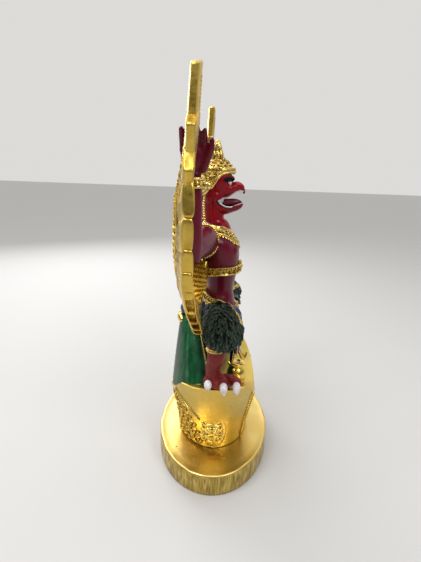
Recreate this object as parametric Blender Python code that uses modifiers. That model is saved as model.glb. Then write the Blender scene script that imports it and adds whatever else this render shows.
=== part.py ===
# A Garuda standing on a crescent pedestal, which stands on an oval disc.
# Metres, +Z up. The figure faces -Y, and the origin is the middle of the disc's underside.
# The figure is a free form: its points are shares of its own height, written in drawing units.
# The pedestal's relief is drawn in units of the pedestal's height in the same way.

import math

import bmesh
import bpy
from mathutils import Matrix, Vector
from mathutils.geometry import interpolate_bezier

# Disc
DISC_LENGTH = 0.164
DISC_WIDTH = 0.104
DISC_THICKNESS = 0.019
DISC_EDGE_ROUND = 0.0012
DISC_SIDES = 56

# Pedestal
PEDESTAL_FOOT_LENGTH = 0.094
PEDESTAL_FOOT_WIDTH = 0.065
PEDESTAL_TOP_WIDTH = 0.0765
PEDESTAL_HEIGHT = 0.066
PEDESTAL_UNITS = 66.0
PEDESTAL_DIP = 0.025
PEDESTAL_LEDGE = 0.009
TOE_MARGIN = 0.007
FLARE_POWER = 1.5
FOOT_SQUARENESS = 2.0
TOP_SQUARENESS = 2.9
PEDESTAL_SIDES = 44
ROPE_RADIUS = 0.0014
BUD_WIDTH = 0.0185
BUD_SINK = 0.0015
BUD_INSET = 0.018

# Figure
FIGURE_HEIGHT = 0.2345
FIGURE_UNITS = 234.5
FEATHER_SHARES = (0.0, 0.2, 0.31, 0.42, 0.525, 0.625, 0.715, 0.802, 0.875, 0.94, 1.0)
FEATHER_THICKNESS = 0.0078
FIGURE_TRIANGLES = 7000
PEDESTAL_TRIANGLES = 2000
SKIN_GRAIN = 0.0008
TAIL_SINK = 0.0015

# Clearance between pieces that touch
GAP = 0.0003

unit = FIGURE_HEIGHT / FIGURE_UNITS
reliefUnit = PEDESTAL_HEIGHT / PEDESTAL_UNITS
pedestalFoot = DISC_THICKNESS + GAP
standHeight = DISC_THICKNESS + PEDESTAL_HEIGHT
halfStance = 53.0 * unit
pedestalEnd = halfStance + TOE_MARGIN

for old in list(bpy.data.objects):
    bpy.data.objects.remove(old, do_unlink=True)


def newCollection(name):
    made = bpy.data.collections.new(name)
    bpy.context.scene.collection.children.link(made)
    return made


statue = newCollection("garuda_statue")
cutters = newCollection("cutters")
figureForms = newCollection("figure_forms")
pedestalForms = newCollection("pedestal_forms")
for helpers in (cutters, figureForms, pedestalForms):
    helpers.hide_render = True


def paint(name, colour, roughness, metallic):
    made = bpy.data.materials.new(name)
    made.use_nodes = True
    shader = made.node_tree.nodes["Principled BSDF"]
    shader.inputs["Base Color"].default_value = (*colour, 1.0)
    shader.inputs["Roughness"].default_value = roughness
    shader.inputs["Metallic"].default_value = metallic
    return made


# Meshes and small shapes

def objectFrom(bm, name, collection):
    """A closed mesh, its faces pointing out, as an object."""
    bmesh.ops.recalc_face_normals(bm, faces=bm.faces)
    mesh = bpy.data.meshes.new(name)
    bm.to_mesh(mesh)
    bm.free()
    made = bpy.data.objects.new(name, mesh)
    collection.objects.link(made)
    if collection is not statue:
        made.hide_render = True
        made.display_type = "WIRE"
    return made


def at(x, y, z):
    """A point of the figure, from drawing units above the pedestal's ends."""
    return Vector((x * unit, y * unit, standHeight + z * unit))


def loft(name, rings, collection=figureForms, poles=None):
    """A closed skin over rings of equal count, each end drawn to a pole or capped flat."""
    bm = bmesh.new()
    rows = [[bm.verts.new(p) for p in ring] for ring in rings]
    count = len(rows[0])
    for low, high in zip(rows, rows[1:]):
        for i in range(count):
            j = (i + 1) % count
            bm.faces.new((low[i], low[j], high[j], high[i]))
    for row, pole in zip((rows[0], rows[-1]), poles or (None, None)):
        if pole is None:
            bm.faces.new(row)
            continue
        tip = bm.verts.new(pole)
        for i in range(count):
            bm.faces.new((row[i], row[(i + 1) % count], tip))
    bmesh.ops.triangulate(bm, faces=bm.faces)
    return objectFrom(bm, name, collection)


def ellipse(centre, across, along, sides, power=2.0):
    """Points round an oval, or a squarer oval where the power is over two."""
    points = []
    for i in range(sides):
        angle = 2 * math.pi * (i + 0.5) / sides
        c, s = math.cos(angle), math.sin(angle)
        shape = (abs(c) ** power + abs(s) ** power) ** (-1 / power)
        points.append(centre + across * (c * shape) + along * (s * shape))
    return points


def limb(name, spine, radii, up=Vector((0, 0, 1)), sides=10, blunt=0.5):
    """A tapering limb through spine points, with (side, up) radii and blunt ends."""
    rings = []
    tangents = []
    for i, point in enumerate(spine):
        before, after = spine[max(i - 1, 0)], spine[min(i + 1, len(spine) - 1)]
        tangent = (after - before).normalized()
        side = tangent.cross(up).normalized()
        lift = side.cross(tangent)
        tangents.append(tangent)
        rings.append(ellipse(point, side * radii[i][0] * unit, lift * radii[i][1] * unit, sides))
    start = spine[0] - tangents[0] * min(radii[0]) * blunt * unit
    end = spine[-1] + tangents[-1] * min(radii[-1]) * blunt * unit
    return loft(name, rings, figureForms, (start, end))


def tube(name, points, radius, up=Vector((0, 0, 1)), sides=6):
    return limb(name, points, [(radius, radius)] * len(points), up, sides, 0.6)


def blob(name, centre, radii, collection=figureForms, segments=12, rings=8):
    bm = bmesh.new()
    bmesh.ops.create_uvsphere(bm, u_segments=segments, v_segments=rings, radius=1.0)
    size = Matrix.Diagonal((*radii, 1.0))
    bm.transform(Matrix.Translation(centre) @ size)
    return objectFrom(bm, name, collection)


def figureBlob(name, centre, radii, segments=12, rings=8):
    return blob(name, at(*centre), [r * unit for r in radii], figureForms, segments, rings)


def band(name, centre, radiusX, radiusY, front, back, half, thick, segments=18):
    """An oval band round the body, its front and its back lifted from the height of its sides."""
    rings = []
    for i in range(segments):
        angle = 2 * math.pi * i / segments
        out = Vector((math.sin(angle), -math.cos(angle), 0))
        lift = front * max(-out.y, 0.0) + back * max(out.y, 0.0)
        middle = at(centre[0] + radiusX * out.x, centre[1] + radiusY * out.y, centre[2] + lift)
        rings.append(ellipse(middle, out * thick * unit, Vector((0, 0, half * unit)), 6))
    return ringLoft(name, rings)


def ringLoft(name, rings, collection=figureForms):
    """A closed skin over rings that run round and meet themselves."""
    bm = bmesh.new()
    rows = [[bm.verts.new(p) for p in ring] for ring in rings]
    for low, high in zip(rows, rows[1:] + rows[:1]):
        for i in range(len(low)):
            j = (i + 1) % len(low)
            bm.faces.new((low[i], low[j], high[j], high[i]))
    bmesh.ops.triangulate(bm, faces=bm.faces)
    return objectFrom(bm, name, collection)


def hoop(name, centre, axis, radius, thick, segments=12, sides=5):
    """A bracelet round a limb that runs along axis."""
    axis = axis.normalized()
    first = axis.orthogonal().normalized()
    second = axis.cross(first)
    rings = []
    for i in range(segments):
        angle = 2 * math.pi * i / segments
        out = first * math.cos(angle) + second * math.sin(angle)
        middle = centre + out * radius * unit
        rings.append(ellipse(middle, out * thick * unit, axis * thick * 1.3 * unit, sides))
    return ringLoft(name, rings)


LEAF_STATIONS = ((0.0, 0.45), (0.3, 0.9), (0.62, 1.0), (0.86, 0.62))


def leaf(name, root, tip, width, thick, face, collection=figureForms, stations=LEAF_STATIONS):
    """A pointed blade from root to tip with a rib on both sides; face is the way it looks."""
    along = tip - root
    side = along.cross(face).normalized()
    normal = side.cross(along).normalized()
    rings = []
    for share, swell in stations:
        middle = root + along * share
        reach = side * width * swell
        rise = normal * thick * (0.55 + 0.45 * swell)
        rings.append([middle - reach, middle - rise, middle + reach, middle + rise])
    return loft(name, rings, collection, (root - along * 0.04, tip))


def throughPoints(points, share):
    """A smooth curve through the points, read at a share of its way."""
    spans = len(points) - 1
    place = min(max(share, 0.0), 1.0) * spans
    i = min(int(place), spans - 1)
    before = points[max(i - 1, 0)]
    after = points[min(i + 2, spans)]
    a, b = Vector(points[i]), Vector(points[i + 1])
    steps = 16
    curve = interpolate_bezier(
        a, a + (b - Vector(before)) / 6, b - (Vector(after) - a) / 6, b, steps + 1
    )
    place = (place - i) * steps
    k = min(int(place), steps - 1)
    return curve[k].lerp(curve[k + 1], place - k)


# Pedestal: an oval foot that flares into a boat-shaped top with raised ends

def topHeight(x):
    """The saddle: level ledges at both ends and a dip between them."""
    reach = min(abs(x) / (pedestalEnd - PEDESTAL_LEDGE), 1.0)
    return standHeight - PEDESTAL_DIP * (1 - reach**2)


def wallPoint(angle, share, grow=0.0, lift=0.0):
    """A point of the wall, from the foot at share 0 to the rim at share 1."""
    flare = share**FLARE_POWER
    halfLength = PEDESTAL_FOOT_LENGTH / 2
    halfLength += (pedestalEnd - halfLength) * flare + grow
    halfWidth = PEDESTAL_FOOT_WIDTH / 2
    halfWidth += (PEDESTAL_TOP_WIDTH - PEDESTAL_FOOT_WIDTH) / 2 * flare + grow
    power = FOOT_SQUARENESS + (TOP_SQUARENESS - FOOT_SQUARENESS) * flare
    c, s = math.cos(angle), math.sin(angle)
    shape = (abs(c) ** power + abs(s) ** power) ** (-1 / power)
    x, y = halfLength * c * shape, halfWidth * s * shape
    z = pedestalFoot + share * (topHeight(x) - pedestalFoot) + lift
    return Vector((x, y, z))


def pedestalCore(name, grow, collection):
    angles = [2 * math.pi * i / PEDESTAL_SIDES for i in range(PEDESTAL_SIDES)]
    rings = [
        [wallPoint(a, share, grow, grow * share) for a in angles]
        for share in (0.0, 0.2, 0.4, 0.6, 0.8, 0.92, 1.0)
    ]
    for inset in (0.93, 0.72, 0.45, 0.2):
        ring = []
        for p in rings[6]:
            x = p.x * inset
            ring.append(Vector((x, p.y * inset, topHeight(x) + grow)))
        rings.append(ring)
    middle = Vector((0, 0, topHeight(0.0) + grow))
    return loft(name, rings, collection, (None, middle))


def bud(name, grow, collection):
    """The round closed bud on the middle of the front edge, a turned shape with a lip near its top."""
    base = topHeight(0.0) - BUD_SINK
    profile = (
        (0.26, 0.0), (0.40, 0.12), (0.5, 0.42), (0.47, 0.66), (0.40, 0.76), (0.45, 0.80), (0.34, 0.95),
    )
    centre = Vector((0, -PEDESTAL_TOP_WIDTH / 2 + BUD_INSET, 0))
    rings = []
    for radius, share in profile:
        ring = []
        for p in ellipse(centre, Vector((1, 0, 0)), Vector((0, 1, 0)), 14):
            out = (p - centre) * (radius * BUD_WIDTH + grow)
            ring.append(centre + out + Vector((0, 0, base + share * BUD_WIDTH)))
        rings.append(ring)
    tip = centre + Vector((0, 0, base + BUD_WIDTH * 1.02 + grow))
    return loft(name, rings, collection, (None, tip))


def wallRope(name, path, side):
    """A rope border laid on the wall along (angle, share) points."""
    spine = []
    for angle, share in path:
        turned = angle if side > 0 else math.pi - angle
        spine.append(wallPoint(turned, share))
    rings = []
    for i, point in enumerate(spine):
        tangent = (spine[min(i + 1, len(spine) - 1)] - spine[max(i - 1, 0)]).normalized()
        out = Vector((point.x, point.y * 2, 0)).normalized()
        across = tangent.cross(out).normalized()
        swell = ROPE_RADIUS * (1.25 if i % 2 else 0.85)
        rings.append(ellipse(point, across * swell, out * swell, 6))
    loft(name, rings, pedestalForms)


def guardianMask(side):
    """The small guardian head low on an end wall, with a crown, brow, cheeks and leaf collar."""
    angle = 0.0 if side > 0 else math.pi
    foot = wallPoint(angle, 0.2)
    out = Vector((side, 0, 0))

    def place(y, z, proud):
        return foot + Vector((side * proud, y, z)) * reliefUnit

    tag = "left" if side > 0 else "right"
    for name, centre, radii in (
        ("mask_head", (0, 4, 0), (4.5, 7.2, 8)),
        ("mask_nose", (0, 4, 4), (2, 1.7, 3)),
        ("mask_chin", (0, -3.5, 1.2), (3.8, 5, 3.4)),
        ("mask_cheek_a", (4.2, 1.5, 2.2), (2.6, 2.8, 2.8)),
        ("mask_cheek_b", (-4.2, 1.5, 2.2), (2.6, 2.8, 2.8)),
        ("mask_brow_a", (3.4, 7.8, 3), (2, 3.2, 1.3)),
        ("mask_brow_b", (-3.4, 7.8, 3), (2, 3.2, 1.3)),
    ):
        size = [r * reliefUnit for r in radii]
        blob(f"{name}_{tag}", place(*centre), size, pedestalForms, 8, 6)
    reliefLeaf(f"mask_crown_{tag}", place(0, 10, 0.5), place(0, 21.5, 1), 4.8, 2.8, out)
    for turn in (-2, -1, 1, 2):
        reach = 8.4 if abs(turn) == 1 else 10
        root = place(turn * 2.8, 1, 0)
        tip = place(turn * reach, 12 - abs(turn) * 7.5, 0.5)
        reliefLeaf(f"mask_leaf_{tag}_{turn + 2}", root, tip, 3, 2.2, out)


def reliefLeaf(name, root, tip, width, thick, out):
    leaf(name, root, tip, width * reliefUnit, thick * reliefUnit, out, pedestalForms)


def scrollPanel(side):
    """Flame leaves that climb the back half of an end wall beside the guardian."""
    tag = "left" if side > 0 else "right"
    for i in range(5):
        angle = 0.42 + 0.20 * i
        turned = angle if side > 0 else math.pi - angle
        tilt = angle + 0.16
        aimed = tilt if side > 0 else math.pi - tilt
        root = wallPoint(turned, 0.10 + 0.10 * i)
        tip = wallPoint(aimed, 0.34 + 0.11 * i)
        out = Vector((root.x, root.y * 2, 0)).normalized()
        reliefLeaf(f"scroll_{tag}_{i}", root, tip + out * 0.8 * reliefUnit, 4.2, 2.3, out)


def pedestal():
    made = pedestalCore("crescent_pedestal", 0.0, statue)
    bud("front_bud", 0.0, pedestalForms)
    steps = 12
    for side in (-1, 1):
        tag = "left" if side > 0 else "right"
        front = [(-0.98 + 0.05 * i / steps, 0.93 - 0.89 * i / steps) for i in range(steps + 1)]
        back = [(0.95 - 0.62 * (i / steps) ** 1.3, 0.93 - 0.48 * i / steps) for i in range(steps + 1)]
        wallRope(f"rope_front_{tag}", front, side)
        wallRope(f"rope_back_{tag}", back, side)
        guardianMask(side)
        scrollPanel(side)
    castAsOne(made, pedestalForms, PEDESTAL_TRIANGLES)
    settle(made)
    made.data.materials.append(paint("pedestal_gold", (0.80, 0.54, 0.17), 0.34, 1.0))
    return made


def disc():
    bm = bmesh.new()
    bmesh.ops.create_cone(
        bm, cap_ends=True, segments=DISC_SIDES, radius1=0.5, radius2=0.5, depth=DISC_THICKNESS
    )
    bm.transform(
        Matrix.Translation((0, 0, DISC_THICKNESS / 2))
        @ Matrix.Diagonal((DISC_LENGTH, DISC_WIDTH, 1.0, 1.0))
    )
    made = objectFrom(bm, "base_disc", statue)
    edge = made.modifiers.new("worn_edge", "BEVEL")
    edge.width = DISC_EDGE_ROUND
    edge.segments = 1
    edge.limit_method = "ANGLE"
    edge.angle_limit = math.radians(50)
    made.data.materials.append(paint("disc_gold", (0.72, 0.48, 0.16), 0.38, 1.0))
    return made


# Figure: body and head

def torso():
    profile = (
        (44, 13, 11, -1), (52, 19, 15, -1), (62, 18.5, 13, -1), (70, 15.5, 12, -1), (80, 18, 13.5, -1),
        (92, 22.5, 15.5, -1), (106, 26, 16.5, 0), (116, 26, 14, 2), (124, 20, 10.5, 5), (130, 11, 8.5, 6),
    )
    rings = []
    for z, halfX, halfY, y in profile:
        x = Vector((halfX * unit, 0, 0))
        rings.append(ellipse(at(0, y, z), x, Vector((0, halfY * unit, 0)), 16))
    return loft("garuda_figure", rings, statue)


def profileAlongY(name, stations, pole, sides=10):
    """A loft whose sections face forward, from (y, z, half width, half height) stations."""
    rings = []
    for y, z, halfX, halfZ in stations:
        x = Vector((halfX * unit, 0, 0))
        rings.append(ellipse(at(0, y, z), x, Vector((0, 0, halfZ * unit)), sides))
    return loft(name, rings, figureForms, (None, at(*pole)))


def head():
    limb("neck", [at(0, 7, 124), at(0, 7, 136), at(0, 8, 150)], [(9.5, 9), (8.4, 8.2), (8.6, 8.4)],
         up=Vector((0, 1, 0)))
    figureBlob("skull", (0, 5, 164), (12.5, 13.5, 13.5), 14, 10)
    figureBlob("cheeks", (0, 7, 151), (11, 9.5, 10.5))
    profileAlongY(
        "upper_beak",
        ((3, 159, 10, 7.2), (-5, 159.6, 8.6, 6.2), (-10.5, 159.8, 6.6, 5.3), (-14.5, 159.4, 4.4, 4.4),
         (-17.2, 158.0, 2.4, 2.9)),
        (0, -18.9, 154.3),
    )
    profileAlongY(
        "lower_jaw",
        ((7, 145.5, 9, 6.5), (-3, 143.0, 7.4, 4.9), (-10, 142.4, 5.8, 4.0), (-14.5, 142.9, 4.2, 3.2)),
        (0, -17.8, 146.4),
    )
    limb("tongue", [at(0, 0, 147), at(0, -8, 147.6), at(0, -13, 149.4)], [(4, 1.8), (3.4, 1.5), (1.6, 1)])
    for side in (-1, 1):
        brow = [at(side * 2.5, -9, 166.5), at(side * 8.5, -5.5, 169), at(side * 12, 1, 168.5)]
        tube(f"brow_{side}", brow, 1.5)
        figureBlob(f"eye_{side}", (side * 8.6, -4.8, 164.6), (2.4, 2.6, 2.2), 8, 6)
        figureBlob(f"nostril_{side}", (side * 4.6, -11.5, 161.6), (1.6, 2.4, 1.4), 8, 6)


def crown():
    """The tiered crown: a turned profile, leaf points round it and a rim that dips at the ears."""
    steps = (
        (197.0, 1.0), (194.0, 2.0), (190.4, 2.7), (186.0, 3.5), (181.0, 4.6), (178.6, 5.8), (177.0, 9.0),
        (175.6, 12.4), (173.6, 14.2), (170.6, 14.5), (168.5, 11.5),
    )
    bm = bmesh.new()
    chain = [bm.verts.new((radius * unit, 0, (z - 168.5) * unit)) for z, radius in steps]
    top = bm.verts.new((0, 0, (198.0 - 168.5) * unit))
    foot = bm.verts.new((0, 0, 0))
    chain = [top] + chain + [foot]
    for a, b in zip(chain, chain[1:]):
        bm.edges.new((a, b))
    mesh = bpy.data.meshes.new("crown_tiers")
    bm.to_mesh(mesh)
    bm.free()
    made = bpy.data.objects.new("crown_tiers", mesh)
    made.location = at(0, 5.6, 168.5)
    made.hide_render = True
    made.display_type = "WIRE"
    figureForms.objects.link(made)
    turn = made.modifiers.new("turn", "SCREW")
    turn.steps = 14
    turn.render_steps = 14
    turn.use_merge_vertices = True
    turn.merge_threshold = 0.0001
    leaves = 10
    for i in range(leaves):
        angle = 2 * math.pi * (i + 0.5) / leaves
        out = Vector((math.sin(angle), -math.cos(angle), 0))
        root = at(14.2 * out.x, 5.6 + 14.2 * out.y, 173)
        tip = at(13.2 * out.x, 5.6 + 13.2 * out.y, 177.6)
        leaf(f"crown_leaf_{i}", root, tip, 4.0 * unit, 1.5 * unit, out)
        root = at(5.2 * out.x, 5.6 + 5.2 * out.y, 177)
        tip = at(3.2 * out.x, 5.6 + 3.2 * out.y, 188)
        if i % 2 == 0:
            leaf(f"spire_leaf_{i}", root, tip, 2.6 * unit, 1.3 * unit, out)
    for side in (-1, 1):
        rim = ((1, -9.7, 171.4), (7.5, -7.4, 171.6), (12, 0, 170.8), (13.2, 4.6, 167), (13.2, 7.6, 161.6),
               (12.6, 11, 158.4), (11.6, 15, 159.6), (8, 18.5, 162))
        tube(f"crown_rim_{side}", [at(side * x, y, z) for x, y, z in rim], 1.6)
        out = Vector((side, 0.3, 0))
        for k, (reach, climb) in enumerate(((24.5, 162.5), (22, 157), (22.5, 168))):
            root = at(side * 12.2, 13, 160 + 2 * (k == 2) - 2 * (k == 1))
            tip = at(side * (15.5 - 2 * k), reach, climb)
            leaf(f"ear_flame_{side}_{k}", root, tip, 3.0 * unit, 1.5 * unit, out)
        nape = ((11, 14, 158), (10, 14.8, 147), (10.6, 13.6, 136), (12.4, 11.5, 126))
        tube(f"nape_cord_{side}", [at(side * x, y, z) for x, y, z in nape], 1.6)


def jewellery():
    band("collar_outer", (0, -0.5, 117.5), 21.5, 15.6, -6.5, 4, 3.4, 2.2)
    band("collar_inner", (0, 3, 124.5), 14.5, 11.5, -3.5, 4, 2.6, 2)
    band("chest_band", (0, -1.2, 90.4), 23.2, 17, 0, -4, 3.7, 2.2)
    band("belt", (0, -0.8, 61.5), 20.5, 15.8, -10.5, 5, 3.4, 2.3)
    figureBlob("chest_boss", (0, -19.0, 91), (5.5, 2.6, 6), 10, 6)
    figureBlob("belt_boss", (0, -17.6, 52.5), (5.2, 2.8, 5.2), 10, 6)


# Figure: limbs

def arms():
    for side in (-1, 1):
        limb(
            f"upper_arm_{side}",
            [
                at(side * x, y, z)
                for x, y, z in ((20, 12, 117), (34, 13.5, 117), (50, 16, 116), (66, 18, 114))
            ],
            [(10.4, 12), (10.8, 12.2), (8.8, 9.4), (6.8, 6.6)],
        )
        limb(
            f"forearm_{side}",
            [
                at(side * x, y, z)
                for x, y, z in ((66, 18.5, 112), (69.5, 18.4, 128), (71.2, 17.8, 152), (72.5, 18, 172))
            ],
            [(7, 6.8), (7.2, 7), (5.6, 5.6), (4.6, 4.4)],
            up=Vector((0, 1, 0)),
        )
        hoop(f"shoulder_hoop_{side}", at(side * 27, 13.2, 116.8), Vector((1, 0, 0)), 11.8, 1.7, 16)
        hoop(f"bracelet_{side}", at(side * 72.2, 17.9, 164.5), Vector((0, 0, 1)), 5.4, 2)
        figureBlob(f"palm_{side}", (side * 73.5, 18.8, 180.5), (4.6, 8.6, 9.5), 10, 8)
        for k in range(4):
            y = 12.2 + 4.5 * k
            long = (9.5, 12.5, 12.5, 10.0)[k]
            finger = [at(side * 74, y, 185), at(side * 76, y + 0.3 * (k - 1.5), 185 + long * 0.75),
                      at(side * 80, y + 0.6 * (k - 1.5), 188 + long)]
            limb(f"finger_{side}_{k}", finger, [(2.6, 2.6), (2.4, 2.4), (1.7, 1.7)],
                 up=Vector((0, 1, 0)), sides=6)
        thumb = [at(side * 73.5, 12.5, 175), at(side * 76, 8.6, 182), at(side * 78, 6.4, 191)]
        limb(f"thumb_{side}", thumb, [(2.6, 2.6), (2.2, 2.2), (1.5, 1.5)], up=Vector((0, 1, 0)), sides=6)


def legs():
    for side in (-1, 1):
        limb(
            f"thigh_{side}",
            [
                at(side * x, y, z)
                for x, y, z in ((8, 0, 49), (26, -3, 49.5), (44, -5, 50.5), (57, -5.5, 49.5), (64, -5.5, 49))
            ],
            [(12, 10.5), (13.5, 11.5), (15, 13.5), (15, 13.8), (10.5, 11)],
            sides=12,
        )
        limb(
            f"shin_{side}",
            [at(side * x, y, z) for x, y, z in ((60, -2, 44), (59.5, -1, 30), (56.5, 1, 19), (54, 1, 7))],
            [(8, 8), (7, 7.4), (6, 6.4), (6.2, 6.4)],
            up=Vector((0, 1, 0)),
        )
        hoop(f"garter_{side}", at(side * 59.8, -1, 33), Vector((side * -0.1, 0, 1)), 7.9, 1.7)
        thighFeathers(side)
        foot(side)


def thighFeathers(side):
    """Rows of pointed feathers over the thigh, tips outward and down, longest round the knee."""
    rows = ((18, 7, 12.0), (29, 9, 13.2), (40, 9, 14.6), (51, 10, 15.0), (61, 9, 13.4), (66.5, 5, 8.0))
    for row, (x, count, radius) in enumerate(rows):
        last = row == len(rows) - 1
        for i in range(count):
            angle = math.radians(-155 + 310 * (i + 0.5 * (row % 2)) / (count - 0.5))
            lift, reach = math.cos(angle), math.sin(angle)
            root = at(side * x, -5 - radius * reach, 50 + radius * 0.9 * lift)
            fall = 13.0 if row >= 3 else 11.0
            out = Vector((side * (1.2 if last else 0.3), -reach, lift)).normalized()
            along = Vector((side * (0.6 if lift > -0.3 else 0.25), -0.35 * reach, -0.9))
            along = (along - out * along.dot(out) * 0.95).normalized()
            tip = root + along * fall * unit + out * 1.6 * unit
            leaf(f"thigh_feather_{side}_{row}_{i}", root, tip, 4.6 * unit, 1.8 * unit, out,
                 stations=((0.0, 0.6), (0.55, 1.0)))


def foot(side):
    figureBlob(f"foot_{side}", (side * 53.5, -4.5, 4.0), (8.5, 10.5, 6.5), 10, 8)
    for k, (spread, reach) in enumerate(((4.6, 61.0), (-8.2, 64.0), (-18.6, 61.5))):
        root = -4.5 + 0.45 * (spread + 4.5)
        toe = [
            at(side * 53.5, root, 6.6),
            at(side * (reach - 4), spread, 5.8),
            at(side * reach, spread, 4.4),
        ]
        limb(f"toe_{side}_{k}", toe, [(4.6, 4.2), (4.0, 3.7), (3.2, 3.0)], sides=8)
        claw = [at(side * (reach - 1), spread, 5.2), at(side * (reach + 3), spread - 0.4, 4.2),
                at(side * (reach + 4.4), spread - 0.8, -1.2)]
        limb(f"claw_{side}_{k}", claw, [(2.9, 2.7), (2.3, 2.2), (0.7, 0.7)], sides=6)
    heel = [at(side * 50, 0, 5), at(side * 45, 1, 2), at(side * 42, 1, -2.6)]
    limb(f"heel_toe_{side}", heel, [(3.4, 3.2), (2.8, 2.8), (1.6, 1.6)], sides=8)


# Figure: cloths and tail

def cloths():
    forward = Vector((0, -1, 0))
    leaf("front_cloth", at(0, -13.5, 56), at(0, -14.5, -2.0), 9.5 * unit, 2.8 * unit, forward)
    curl = [at(0, -15, 26), at(0, -19.5, 14), at(0, -24, 5), at(0, -25.5, -1.5)]
    limb("front_curl", curl, [(5.5, 2.2), (5.5, 2.4), (4.6, 2.4), (2.6, 1.6)], up=forward, sides=8)
    for side in (-1, 1):
        out = Vector((side * 0.4, -1, 0))
        leaf(f"side_cloth_{side}", at(side * 7, -12, 50), at(side * 17, -19, 15), 6.5 * unit, 2 * unit, out)
        leaf(f"hip_cloth_{side}", at(side * 14, -9, 57), at(side * 25, -19, 49), 6 * unit, 2 * unit, out)


def tail():
    """The feathered tail: a fluted shell round the back of the legs, down to the pedestal."""
    high = 44.0
    columns, rows = 36, 7
    bm = bmesh.new()
    grid = []
    for r in range(rows + 1):
        share = r / rows
        line = []
        for c in range(columns + 1):
            turn = -1 + 2 * c / columns
            angle = turn * math.radians(98)
            flute = 1.3 * abs(math.sin(math.pi * c / 4)) * share
            halfX = 13 + 36.5 * share**0.8
            depth = 12 + 17 * share**0.9
            x = (halfX + flute) * math.sin(angle)
            y = 20 - 10 * share + (depth + flute) * math.cos(angle)
            seat = topHeight(50 * math.sin(angle) * unit) - TAIL_SINK
            point = at(x, y, high)
            point.z += (seat - point.z) * share
            line.append(bm.verts.new(point))
        grid.append(line)
    for a, b in zip(grid, grid[1:]):
        for c in range(columns):
            bm.faces.new((a[c], b[c], b[c + 1], a[c + 1]))
    mesh = bpy.data.meshes.new("tail_shell")
    bm.to_mesh(mesh)
    bm.free()
    made = bpy.data.objects.new("tail_shell", mesh)
    made.hide_render = True
    made.display_type = "WIRE"
    figureForms.objects.link(made)
    wall = made.modifiers.new("wall", "SOLIDIFY")
    wall.thickness = 4.0 * unit
    wall.offset = 0.0
    limb("tail_root", [at(0, 6, 56), at(0, 19, 52), at(0, 27, 44)], [(14, 11), (12, 9), (13, 6)])
    figureBlob("tail_knot", (0, 33.5, 39.5), (7.5, 4.5, 4.5), 10, 6)
    figureBlob("tail_sash", (0, 30, 47.5), (8.5, 5, 5), 10, 6)


# Figure: wings

WING_TIPS = ((92, 0, 234.5), (101, 0, 203), (107, 0, 160), (107, 0, 118), (98, 0, 86), (83, 0, 63))
WING_ROOTS = ((88, 0, 176), (77, 0, 160), (58, 0, 140), (38, 0, 122), (27, 0, 100), (26, 0, 79))


def wingDepth(x, z):
    """How far back the wing's middle surface lies: cupped, its outer edge and lower tip forward."""
    edge = 18.4 - 10.5 * max(0.0, (120 - z) / 65) ** 1.6 - 2.4 * max(0.0, (z - 180) / 55) ** 1.5
    root = 17 - 5 * min(max((105 - z) / 40, 0.0), 1.0)
    across = min(max((x - 18) / 88, 0.0), 1.0)
    fade = min(max((200 - z) / 50, 0.0), 1.0) * min(max((z - 40) / 50, 0.3), 1.0)
    return root + (edge - root) * across + 9.5 * fade * math.sin(math.pi * across)


def wingPoint(side, x, z, proud=0.0):
    return at(side * x, wingDepth(x, z) - proud, z)


def feather(name, side, root, tip, width, thick, proud, curl):
    """A long blade that follows the wing's surface and curls upward at its tip."""
    shares = ((0.0, 0.55), (0.35, 0.85), (0.65, 1.0), (0.88, 1.0), (0.97, 0.72))
    rings = []
    run = Vector((tip[0] - root[0], 0, tip[2] - root[2]))
    cross = Vector((-run.z, 0, run.x)).normalized()
    if cross.z < 0:
        cross = -cross
    for share, swell in shares:
        sag = -curl * math.sin(math.pi * share)
        x = root[0] + run.x * share + cross.x * sag
        z = root[2] + run.z * share + cross.z * sag
        ring = []
        for across, deep in (
            (-1, -0.36), (-0.5, -0.5), (0.5, -0.36), (1, -0.3), (1, 0.3), (0, 0.5), (-1, 0.36),
        ):
            px = x + cross.x * width * swell * across
            pz = z + cross.z * width * swell * across
            ring.append(wingPoint(side, px, pz, proud - deep * thick))
        rings.append(ring)
    start = wingPoint(side, root[0] - run.x * 0.03, root[2] - run.z * 0.03, proud)
    end = wingPoint(side, tip[0] + run.x * 0.02, tip[2] + run.z * 0.02, proud)
    return loft(name, rings, figureForms, (start, end))


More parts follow.
